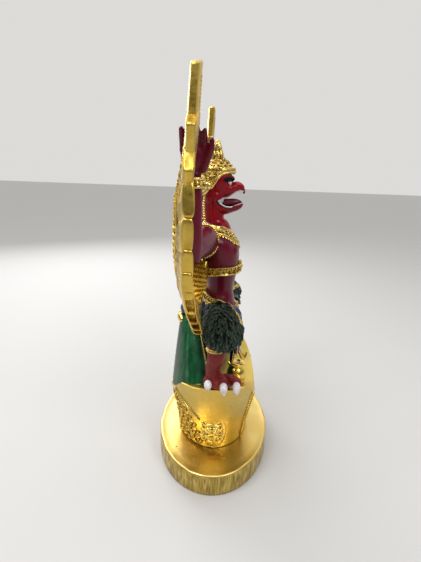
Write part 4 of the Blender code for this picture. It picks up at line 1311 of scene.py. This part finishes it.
def makeTail():
    look = tailLook
    columns, rows = look["columns"], look["rows"]
    turnings = [-1 + 2 * c / columns for c in range(columns + 1)]
    sheets = [
        [[tailPoint(face, r / rows, turn) for turn in turnings] for r in range(rows + 1)] for face in (0, 1)
    ]
    bm = bmesh.new()
    addShell(bm, sheets)
    mesh = toMesh(bm)

    def tailColour(i, _):
        r, c = divmod(i % ((rows + 1) * (columns + 1)), columns + 1)
        share, turn = r / rows, -1 + 2 * c / columns
        lobe = tailLobe(turn)
        # painted shade: the grooves between the plumes take the deep tone
        colour = Vector(look["deep"]).lerp(Vector(look["green"]), min(1.0, lobe * 1.6))
        # painted highlight: pale rims and a thin pale line along each crest
        rim = max(0.0, (abs(turn) - 0.975) / 0.025, (share - 0.98) / 0.02)
        crestHighlight = 0.16 * max(0.0, (lobe - 0.985) / 0.015)
        return colour.lerp(Vector(look["edge"]), min(1.0, 0.85 * min(rim, 1.0) + crestHighlight))

    paintPoints(mesh, tailColour)
    addPiece("tail", mesh, tailPaint, sharp=50)
    # the gold edge along the foot and up both sides
    outer = sheets[0]
    hem = look["hem"] * mm
    bm = bmesh.new()
    for line in ([outer[r][0] for r in range(rows)], outer[rows - 1], [outer[r][-1] for r in range(rows)]):
        rings = []
        for i in range(0, len(line), 2):
            run = (line[min(i + 1, len(line) - 1)] - line[max(i - 1, 0)]).normalized()
            flat = run.cross(Vector((0, 0, 1)) if abs(run.z) < 0.7 else Vector((0, 1, 0))).normalized()
            rings.append(oval(line[i], flat * hem, run.cross(flat) * hem, 8))
        addSkin(bm, rings)
    addPiece("tailHem", toMesh(bm), jewelGold)


# tips and roots are (x, height) of the long feathers, from the top one down
wingLook = {
    "tips": ((92, 232.6), (100.0, 203), (104.2, 160), (104.2, 118), (97.0, 87), (82.6, 64.3)),
    "roots": ((88, 176), (77, 160), (58, 140), (38, 122), (27, 100), (26, 79)),
    "shares": (0.0, 0.2, 0.31, 0.42, 0.525, 0.625, 0.715, 0.802, 0.875, 0.94, 1.0),
    "swells": ((0.55,), (0.72,), (0.86,), (0.96,), (1.0,), (1.0,), (1.02,), (1.04,)),
    "thick": 8.4, "barbPitch": 2.2, "barbDepth": 0.26, "shaft": 0.55, "step": 0.74,
    "secondLength": 0.66, "scaleRows": 9, "scaleCount": 24,
}


def wingDepth(x, z):
    edge = 18.4 - 10.5 * max(0.0, (120 - z) / 65) ** 1.6 - 2.4 * max(0.0, (z - 180) / 55) ** 1.5
    root = 17 - 5 * min(max((105 - z) / 40, 0.0), 1.0)
    across = min(max((x - 18) / 88, 0.0), 1.0)
    fade = min(max((200 - z) / 50, 0.0), 1.0) * min(max((z - 40) / 50, 0.3), 1.0)
    return root + (edge - root) * across + 9.5 * fade * math.sin(math.pi * across)


def wingPoint(side, x, z, proud=0.0):
    return at(side * x, wingDepth(x, z) - proud, z)


def wingSpan(share):
    # root and tip of the feather that stands at a share of the wing's fan
    return [Vector(along(wingLook[key], share)) for key in ("roots", "tips")]


def addFeather(bm, side, root, tip, width, thick, proud, bow, cup):
    # a long vane with a shaft, slanted barbs and a dished end
    look = wingLook
    run = Vector((tip[0] - root[0], 0, tip[1] - root[1]))
    length = run.length
    cross = Vector((-run.z, 0, run.x)).normalized()
    if cross.z < 0:
        cross = -cross
    ahead = run.normalized()
    steps = int(length / look["step"])
    across = (-1, -0.86, -0.68, -0.5, -0.34, -0.18, -0.07, 0, 0.07, 0.18, 0.34, 0.5, 0.68, 0.86, 1)

    def ring(share, shrink=1.0, back=0.0, flat=1.0):
        swell = along(look["swells"], share)[0]
        sag = -bow * math.sin(math.pi * share)
        made = []
        for face in (1, -1):
            for u in across[::face]:
                rounding = max(0.0, (abs(u) - 0.8) / 0.2)
                half = 0.5 * thick * (0.96 - 0.18 * u * u) * (1 - 0.28 * rounding)
                wave = 2 * math.pi * (share * length - abs(u) * width * 0.9) / look["barbPitch"]
                fade = min(1.0, max(0.0, (0.93 - share) / 0.06)) * (1 - rounding)
                groove = look["barbDepth"] * (0.5 - 0.5 * math.sin(wave)) * fade
                shaft = look["shaft"] * math.exp(-(u * width / 0.8) ** 2) * fade
                lift = (half - groove + shaft) * face * flat
                slide = 1.5 * u * share**6 - back
                off = sag + width * swell * u * shrink
                px = root[0] + run.x * share + cross.x * off + ahead.x * slide
                pz = root[1] + run.z * share + cross.z * off + ahead.z * slide
                made.append(wingPoint(side, px, pz, proud + lift))
        return made

    rings = [ring(i / steps) for i in range(steps)]
    # a rounded end, dished where cup is above zero
    ends = ((0.985, 0.15, 0.97), (0.95, 0.5, 0.9), (0.90, 0.8, 0.82), (0.84, 0.95, 0.74))
    for shrink, onward, flat in ends:
        rings.append(ring(1.0, shrink, -onward, flat))
    rings.append(ring(1.0, 0.7, cup - 1.0, 0.58))
    end = wingPoint(side, tip[0] - ahead.x * (cup - 1.1), tip[1] - ahead.z * (cup - 1.1), proud)
    start = wingPoint(side, root[0] - run.x * 0.03, root[1] - run.z * 0.03, proud)
    addSkin(bm, rings, (start, end))


def padHalf(share):
    return 2.4 + 2.4 * min(1.0, share * 1.5)


def addWingPad(bm, side):
    # the wing's thick inner part under the scales
    rows, columns = 9, 30
    sheets = []
    for face in (1, -1):
        sheet = []
        for c in range(columns + 1):
            share = c / columns
            root, tip = wingSpan(share)
            line = []
            for r in range(rows + 1):
                point = root.lerp(tip, -0.08 + 0.50 * r / rows)
                swell = math.sin(math.pi * min(1.0, (r + 0.6) / (rows + 1.2))) ** 0.5
                swell *= math.sin(math.pi * (c + 1.0) / (columns + 2)) ** 0.3
                line.append(wingPoint(side, point.x, point.y, face * padHalf(share) * swell))
            sheet.append(line)
        sheets.append(sheet)
    addShell(bm, sheets)


def wingScales(side):
    look = wingLook
    spots = []
    for face in (1, -1):
        for row in range(look["scaleRows"]):
            way = 0.42 - 0.056 * row
            for i in range(look["scaleCount"]):
                share = 0.14 + 0.86 * (i + 0.5 * (row % 2)) / (look["scaleCount"] - 0.5)
                root, tip = wingSpan(share)
                point, ahead = root.lerp(tip, way), root.lerp(tip, way + 0.04)
                proud = face * (padHalf(share) - 0.2 + 0.12 * row)
                here = wingPoint(side, point.x, point.y, proud)
                there = wingPoint(side, ahead.x, ahead.y, proud - face * 0.35)
                size = (7.2 - 0.28 * row) * (0.7 + 0.3 * min(1.0, share * 1.6))
                spots.append((here, Vector((0, -face, 0)), there - here, (size, size * 0.95, 3.6)))
    return dress(scaleShape, spots, wingGold, 0.06, 20 + side)


def makeWing(side):
    look = wingLook
    bm = bmesh.new()
    for i, share in enumerate(look["shares"]):
        root, tip = along(look["roots"], share), along(look["tips"], share)
        width = 8.2 + 2.6 * math.sin(math.pi * share)
        thick = look["thick"] - 1.2 * max(0, 3 - i) / 3
        cup = 0.0 if i < 7 else 1.4 + 0.5 * (i - 6)
        addFeather(bm, side, root, tip, width, thick, 0.35 * (i % 2), 3.0, cup)
    # shorter feathers over the long ones, on both faces
    seconds = len(look["shares"]) - 3
    for i in range(seconds):
        share = 0.10 + 0.84 * i / (seconds - 1)
        root, tip = wingSpan(share)
        for front in (1, -1):
            proud = front * (1.6 + 1.4 * min(1.0, share * 1.5))
            addFeather(bm, side, root, root.lerp(tip, look["secondLength"]), 8.6, 4.0, proud, 2.0, 0.2)
    addWingPad(bm, side)
    # the arm of the wing along the feathers' roots, and its seat on the back
    arm = []
    for k, (x, z) in enumerate(fine(look["roots"], 7)):
        arm.append((side * (x - 2), wingDepth(x - 2, z) + 0.5, z, 2.8 + 0.5 * k, 2.6 + 0.35 * k))
    addLimb(bm, arm + [(side * 15, 12.5, 96, 6, 4.6)], (0, 1, 0), 20)
    addLimb(bm, onSide(side, ((9, 11, 112, 10, 5), (30, wingDepth(30, 112), 112, 9, 4.4),
                              (46, wingDepth(46, 122), 122, 6, 3.6))), (0, 1, 0), 20)
    parts = [toMesh(bm), wingScales(side)]
    for front in (1, -1):
        line = []
        for s in range(60):
            root, tip = wingSpan(s / 59)
            point = root.lerp(tip, 0.47)
            line.append(wingPoint(side, point.x, point.y, front * (3.0 + 1.6 * min(1.0, s / 38))))
        parts.append(beads(line, wingGold, 0.8, 1.4))
    tag = "left" if side > 0 else "right"
    addPiece(f"{tag}Wing", joined(*parts), wingGold, sharp=55)


pedestalLook = {
    "footLength": 94.0, "footWidth": 65.0, "topWidth": 76.5, "end": 60.0, "ledge": 9.0, "dip": 25.0,
    "flare": 1.5, "footPower": 2.0, "topPower": 2.9, "ropeRadius": 1.7,
    "budWidth": 18.0, "budHeight": 24.5,
    # radius and height of the bud's outline, as shares of its width and height
    "bud": (
        (0.30, 0.0), (0.42, 0.06), (0.50, 0.2), (0.515, 0.36), (0.48, 0.52), (0.40, 0.64), (0.33, 0.70),
        (0.32, 0.74), (0.40, 0.775), (0.465, 0.80), (0.47, 0.86), (0.44, 0.89), (0.30, 0.90), (0.26, 0.88),
    ),
}


def topHeight(x):
    look = pedestalLook
    reach = min(abs(x) / (look["end"] - look["ledge"]), 1.0)
    return stand - look["dip"] * (1 - reach**2)


def wallPoint(angle, share, lift=0.0):
    # on the pedestal's wall, from its foot at share 0 to its rim at share 1; angle 0 is the left end
    look = pedestalLook
    flare = share ** look["flare"]
    halfLength = look["footLength"] / 2 + (look["end"] - look["footLength"] / 2) * flare
    halfWidth = look["footWidth"] / 2 + (look["topWidth"] - look["footWidth"]) / 2 * flare
    power = look["footPower"] + (look["topPower"] - look["footPower"]) * flare
    c, s = math.cos(angle), math.sin(angle)
    shape = (abs(c) ** power + abs(s) ** power) ** (-1 / power)
    x, y = halfLength * c * shape, halfWidth * s * shape
    foot = discTop + 0.3
    z = foot + share * (topHeight(x) - foot)
    out = Vector((x / halfLength**2, y / halfWidth**2, 0)).normalized()
    return Vector((x, y, z)) * mm + out * lift * mm, out


def makePedestal():
    angles = turns(240)
    bm = bmesh.new()
    rings = [[wallPoint(a, share)[0] for a in angles] for share in [i / 28 for i in range(28)] + [0.985]]
    rim = [wallPoint(a, 1.0)[0] for a in angles]
    rings.append([p + Vector((0, 0, -0.0004)) for p in rim])
    # the saddle-shaped top
    for inset in (0.993, 0.98, 0.93, 0.85, 0.72, 0.6, 0.45, 0.3, 0.15):
        ring = []
        for p in rim:
            x = p.x * inset
            ring.append(Vector((x, p.y * inset, topHeight(x / mm) * mm - (0.0001 if inset > 0.99 else 0))))
        rings.append(ring)
    addSkin(bm, rings, (None, Vector((0, 0, topHeight(0) * mm))))
    addPiece("pedestalBody", toMesh(bm), pedestalGold, pedestalNode, sharp=50)
    makePedestalRelief()


def mirrored(angle, side):
    return angle if side > 0 else math.pi - angle


def makePedestalRelief():
    parts = []
    for side in sides:
        # the rope borders, then the bead frame round the guardian mask
        front = [(-0.98 + 0.05 * i / 40, 0.97 - 0.95 * i / 40) for i in range(41)]
        back = [(0.95 - 0.62 * (i / 40) ** 1.3, 0.97 - 0.52 * i / 40) for i in range(41)]
        for path in (front, back):
            line = [wallPoint(mirrored(a, side), s, 0.3)[0] for a, s in path]
            parts.append(rope(line, reliefGold, pedestalLook["ropeRadius"]))
        line = []
        for i in range(33):
            turn = math.radians(-150 + 210 * i / 32)
            angle, share = -0.06 + 0.33 * math.sin(turn) * 0.95, 0.27 - 0.27 * math.cos(turn)
            line.append(wallPoint(mirrored(angle, side), max(share, 0.005), 0.2)[0])
        parts.append(beads(line, reliefGold, 0.75, 1.3))
        parts.extend(scrollPanel(side))
        parts.append(guardianMask(side))
    addPiece("pedestalRopesAndRelief", joined(*parts), reliefGold, pedestalNode)
    makeBud()


def scrollPanel(side):
    # flame curls that climb the back half of an end wall
    random.seed(31)
    curls, leaves = [], []
    rows = 14
    for row in range(rows):
        share = 0.03 + 0.87 * row / (rows - 1)
        # the panel runs from the rope to the back edge and narrows as it climbs
        inner = 0.30 + 0.62 * min(1.0, share / 0.9) ** 1.1
        outer = 1.22 - 0.10 * share
        count = max(2, int(round((outer - inner) / 0.092)))
        for k in range(count):
            angle = inner + (outer - inner) * (k + 0.5) / count + random.uniform(-0.02, 0.02)
            point, out = wallPoint(mirrored(angle, side), share, 0.1)
            ahead = wallPoint(mirrored(angle + (0.12 if k % 2 else -0.06), side), share + 0.08, 0.1)[0]
            size = 7.8 - 1.6 * share + random.uniform(-0.5, 0.5)
            curls.append((point, out, ahead - point, (size, size * flip(row + k), size * 0.85)))
            leaves.append((point, out, ahead - point, (size, size * 0.5, size * 0.6)))
    return [dress(curl, curls, reliefGold, 0.1, 40 + side), dress(leaf, leaves, reliefGold, 0.1, 50 + side)]


# rows are how far a form stands out, its y and its height on the wall, then its radii
maskForms = (
    (0.2, 0, 3.6, (3.6, 7.0, 7.6)), (3.0, 0, 3.6, (1.9, 1.5, 2.6)), (2.7, 1.3, 2.4, (1.3, 1.0, 1.0)),
    (1.6, 0, -3.2, (2.9, 4.6, 2.9)), (2.2, 4.0, 1.6, (2.0, 2.4, 2.3)), (2.8, 2.9, 5.6, (1.2, 1.5, 1.2)),
)
maskLines = (
    ((3.0, 0.6, 6.6, 0.8, 0.8), (3.2, 3.0, 8.4, 0.9, 0.9), (2.2, 5.8, 7.8, 0.7, 0.7)),  # brow
    ((4.0, 0, -1.0, 0.7, 0.6), (3.6, 2.2, -0.8, 0.7, 0.6), (2.4, 4.4, 0.4, 0.5, 0.5)),  # upper lip
    ((4.2, 0, -2.8, 0.7, 0.6), (3.8, 2.0, -2.4, 0.7, 0.6), (2.6, 4.0, -0.6, 0.5, 0.5)),  # lower lip
    ((1.2, 6.6, 6.4, 1.0, 1.4), (1.0, 8.4, 8.4, 0.9, 1.2), (0.6, 8.6, 11.6, 0.3, 0.4)),  # ear
)


def guardianMask(side):
    # a small guardian head with bulging eyes, wide mouth, cheeks, crown and leaf collar
    foot = wallPoint(mirrored(0.0, side), 0.22)[0] / mm

    def spot(proud, y, z):
        return (foot.x + side * proud, foot.y + y, foot.z - stand + z)

    bm = bmesh.new()
    for proud, y, z, radii in maskForms:
        for turn in ((1, -1) if y else (1,)):
            addBall(bm, spot(proud, turn * y, z), radii, 16)
    for turn in (-1, 1):
        for line in maskLines:
            addLimb(bm, [(*spot(proud, turn * y, z), a, b) for proud, y, z, a, b in line], count=8)
    crown = []
    for i in range(7):
        crown.append((*spot(2.2, -6 + 12 * i / 6, 10.2 + 1.4 * math.sin(math.pi * i / 6)), 1.1, 1.2))
    addLimb(bm, crown, count=10)
    mesh = melt(bm, 0.38, 2)
    leaves = []
    out = Vector((side, 0, 0))
    for k in range(-3, 4):
        way = Vector((-side * 0.12, k * 0.22, 1))
        point = at(*spot(1.0, k * 1.9, 11.6 - 0.25 * k * k))
        leaves.append((point, out, way, (9.5 - 1.2 * abs(k), 3.6, 4.6)))
        way = Vector((side * 0.1, k * 0.5, -0.8 + 0.16 * abs(k)))
        point = at(*spot(-0.2, k * 1.7, -4.4 + 0.35 * k * k))
        leaves.append((point, out, way, (6.0, 3.6, 4.2)))
    for turn in (-1, 1):
        for k in range(4):
            point = at(*spot(0.2, turn * 6.2, -2.0 + 3.0 * k))
            leaves.append((point, out, Vector((0, turn, 0.6)), (6.0 - 0.7 * k, 3.4, 3.6)))
    return joined(mesh, dress(leaf, leaves, reliefGold, 0.05, 60 + side))


def makeBud():
    look = pedestalLook
    width, height = look["budWidth"], look["budHeight"]
    foot = Vector((0, -look["topWidth"] / 2 + 18.0, topHeight(0) - 1.0))
    rings = []
    for radius, share in fine(look["bud"], 60):
        ring = []
        for p in oval(Vector((0, 0, 0)), Vector((1, 0, 0)), Vector((0, 1, 0)), 48):
            lobe = abs(math.sin(4 * math.atan2(p.y, p.x)))
            reach = radius * width * (1 + 0.022 * lobe * math.sin(math.pi * min(share * 1.25, 1.0)))
            ring.append((foot + p * reach + Vector((0, 0, share * height))) * mm)
        rings.append(ring)
    bm = bmesh.new()
    addSkin(bm, rings, (None, (foot + Vector((0, 0, height * 0.88))) * mm))
    addPiece("frontBud", toMesh(bm), reliefGold, pedestalNode)


discLook = {
    "length": 164.0, "width": 104.0, "edge": 1.4, "lip": 0.35, "hole": (-48.3, 31.3),
    # pinholeShade is the painted shade of the casting pinhole
    "deep": (0.72, 0.51, 0.14), "bright": (0.82, 0.62, 0.22), "pinholeShade": (0.012, 0.008, 0.004),
    "filed": ((0.34, (0.30, 0.20, 0.05)), (0.50, (0.50, 0.36, 0.09)), (0.66, (0.72, 0.54, 0.18))),
    "gloss": (0.27, 0.38), "marks": 26.0, "markLength": 2.6, "grain": 650, "bump": 0.22,
}


def makeDisc():
    look = discLook
    edge, flat = look["edge"], discTop - look["lip"]
    section = (
        (-1.0, 0.0), (-0.3, 0.3), (0.0, 1.2), (0.0, discTop * 0.3), (0.0, discTop * 0.6),
        (0.0, discTop - edge), (-0.3 * edge, discTop - 0.4 * edge), (-0.9 * edge, discTop),
        (-1.6 * edge, discTop - 0.05), (-2.4 * edge, flat), (-8, flat), (-20, flat), (-34, flat),
    )
    rings = []
    for inset, z in section:
        ring = []
        for angle in turns(280):
            # the worn edge wanders a little
            wander = 0.22 * (math.sin(11 * angle + 1) + math.sin(23 * angle)) * (-3.5 < inset < -0.35)
            x = (look["length"] / 2 + inset + wander) * math.cos(angle)
            y = (look["width"] / 2 + inset + wander) * math.sin(angle)
            ring.append(Vector((x, y, z)) * mm)
        rings.append(ring)
    bm = bmesh.new()
    addSkin(bm, rings, (None, Vector((0, 0, flat)) * mm))
    addPiece("discBody", toMesh(bm), discFinish(), discNode, sharp=60)


def discFinish():
    # satin gold with upright file marks round the rim, and a casting pinhole on the top drawn as a dark dot
    # of painted shade
    look = discLook
    made, tree, shader = newFinish("discGold", 0.3, 1.0)
    place = tree.nodes.new("ShaderNodeTexCoord").outputs["Object"]
    x, y, z = addNode(tree, "ShaderNodeSeparateXYZ", {0: place}).outputs[:3]
    wide = mathNode(tree, "MULTIPLY", y, look["length"] / look["width"])
    join = addNode(tree, "ShaderNodeCombineXYZ", {
        "X": mathNode(tree, "ARCTAN2", wide, x), "Y": mathNode(tree, "MULTIPLY", z, look["markLength"]),
    })
    marks = addNode(tree, "ShaderNodeTexNoise", {
        "Vector": join.outputs[0], "Scale": look["marks"], "Detail": 5.0, "Distortion": 0.5,
    }).outputs["Fac"]
    wall = mapRange(tree, z, 0.0185, 0.0172)
    tone = ramp(tree, noise(tree, 24, 4.0), ((0.35, look["deep"]), (0.65, look["bright"])))
    tone = mixColours(tree, wall, tone, ramp(tree, marks, look["filed"]))
    # painted shade: a dark dot where the casting pinhole is
    spot = (look["hole"][0] * mm, look["hole"][1] * mm, discTop * mm)
    hole = addNode(tree, "ShaderNodeVectorMath", {0: place, 1: spot}, operation="DISTANCE")
    tone = mixColours(tree, mapRange(tree, hole.outputs["Value"], 0.0007, 0.0010), look["pinholeShade"], tone)
    feed(tree, shader.inputs["Base Color"], tone)
    feed(tree, shader.inputs["Roughness"], mapRange(tree, noise(tree, 70), 0.3, 0.7, *look["gloss"]))
    height = mixColours(tree, wall, noise(tree, look["grain"], 5.0), marks)
    addBump(tree, shader, height, look["bump"], 0.0005)
    return made


viewLook = {
    "place": (-0.343, -0.007, 0.257), "right": (0.05302, -0.99803, 0.03360),
    "up": (0.26879, 0.04666, 0.96207), "forward": (0.96174, 0.04198, -0.27074), "lens": 24.98,
}


def makeView():
    data = bpy.data.cameras.new("view")
    data.lens = viewLook["lens"]
    data.sensor_width = 36.0
    data.sensor_fit = "AUTO"
    data.clip_start = 0.01
    camera = bpy.data.objects.new("view", data)
    scene.collection.objects.link(camera)
    right, up, forward = [Vector(viewLook[k]) for k in ("right", "up", "forward")]
    turn = Matrix((right, up, -forward)).transposed().to_4x4()
    camera.matrix_world = Matrix.Translation(viewLook["place"]) @ turn
    scene.camera = camera


stageLook = {
    "floor": (0.56, 0.555, 0.55), "near": 0.13, "far": 0.72, "above": 0.75, "sky": (1.0, 0.985, 0.96),
    # place in metres, size and power of each soft lamp
    "lamps": (
        ((-0.35, 0.4, 0.95), 0.45, 4.5), ((-0.5, -0.45, 0.75), 0.3, 2.2), ((0.75, 0.45, 0.6), 0.6, 5.0),
    ),
}


def makeStage():
    bm = bmesh.new()
    bmesh.ops.create_grid(bm, x_segments=2, y_segments=2, size=6.0)
    floor = bpy.data.objects.new("floor", toMesh(bm))
    scene.collection.objects.link(floor)
    finish, tree, shader = newFinish("floorPale", 0.7)
    feed(tree, shader.inputs["Base Color"], stageLook["floor"])
    floor.data.materials.append(finish)
    # a soft studio: a pale wall behind, brighter above, dim on the viewer's side
    scene.world = bpy.data.worlds.new("studio")
    scene.world.use_nodes = True
    sky = scene.world.node_tree
    back = sky.nodes["Background"]
    feed(sky, back.inputs["Color"], stageLook["sky"])
    place = sky.nodes.new("ShaderNodeTexCoord").outputs["Generated"]
    split = addNode(sky, "ShaderNodeSeparateXYZ", {0: place}).outputs
    wall = mapRange(sky, split["X"], -0.2, 0.75, stageLook["near"], stageLook["far"])
    above = mapRange(sky, split["Z"], 0.35, 0.95, 0.0, stageLook["above"])
    feed(sky, back.inputs["Strength"], mathNode(sky, "ADD", wall, above))
    scene.view_settings.view_transform = "Standard"
    for k, (place, size, power) in enumerate(stageLook["lamps"]):
        light = bpy.data.lights.new(f"softBox{k}", "AREA")
        light.size = size
        light.energy = power
        lamp = bpy.data.objects.new(f"softBox{k}", light)
        scene.collection.objects.link(lamp)
        lamp.location = place
        lamp.visible_camera = False
        aim = Vector((0, 0, 0.16)) - Vector(place)
        lamp.rotation_euler = aim.to_track_quat("-Z", "Y").to_euler()


makeView()
makeStage()
print("view and stage made")
makeBody()
print("body made")
makeHead()
print("head made")
makeCrown()
print("crown made")
makeJewellery()
print("jewellery made")
makeLegs()
print("legs made")
makeCloths()
makeTail()
print("cloths and tail made")
for wingSide in sides:
    makeWing(wingSide)
print("wings made")
makePedestal()
makeDisc()
print("pedestal and disc made")

for motif in (leaf, curl, scaleShape, plume):
    bpy.data.meshes.remove(motif)
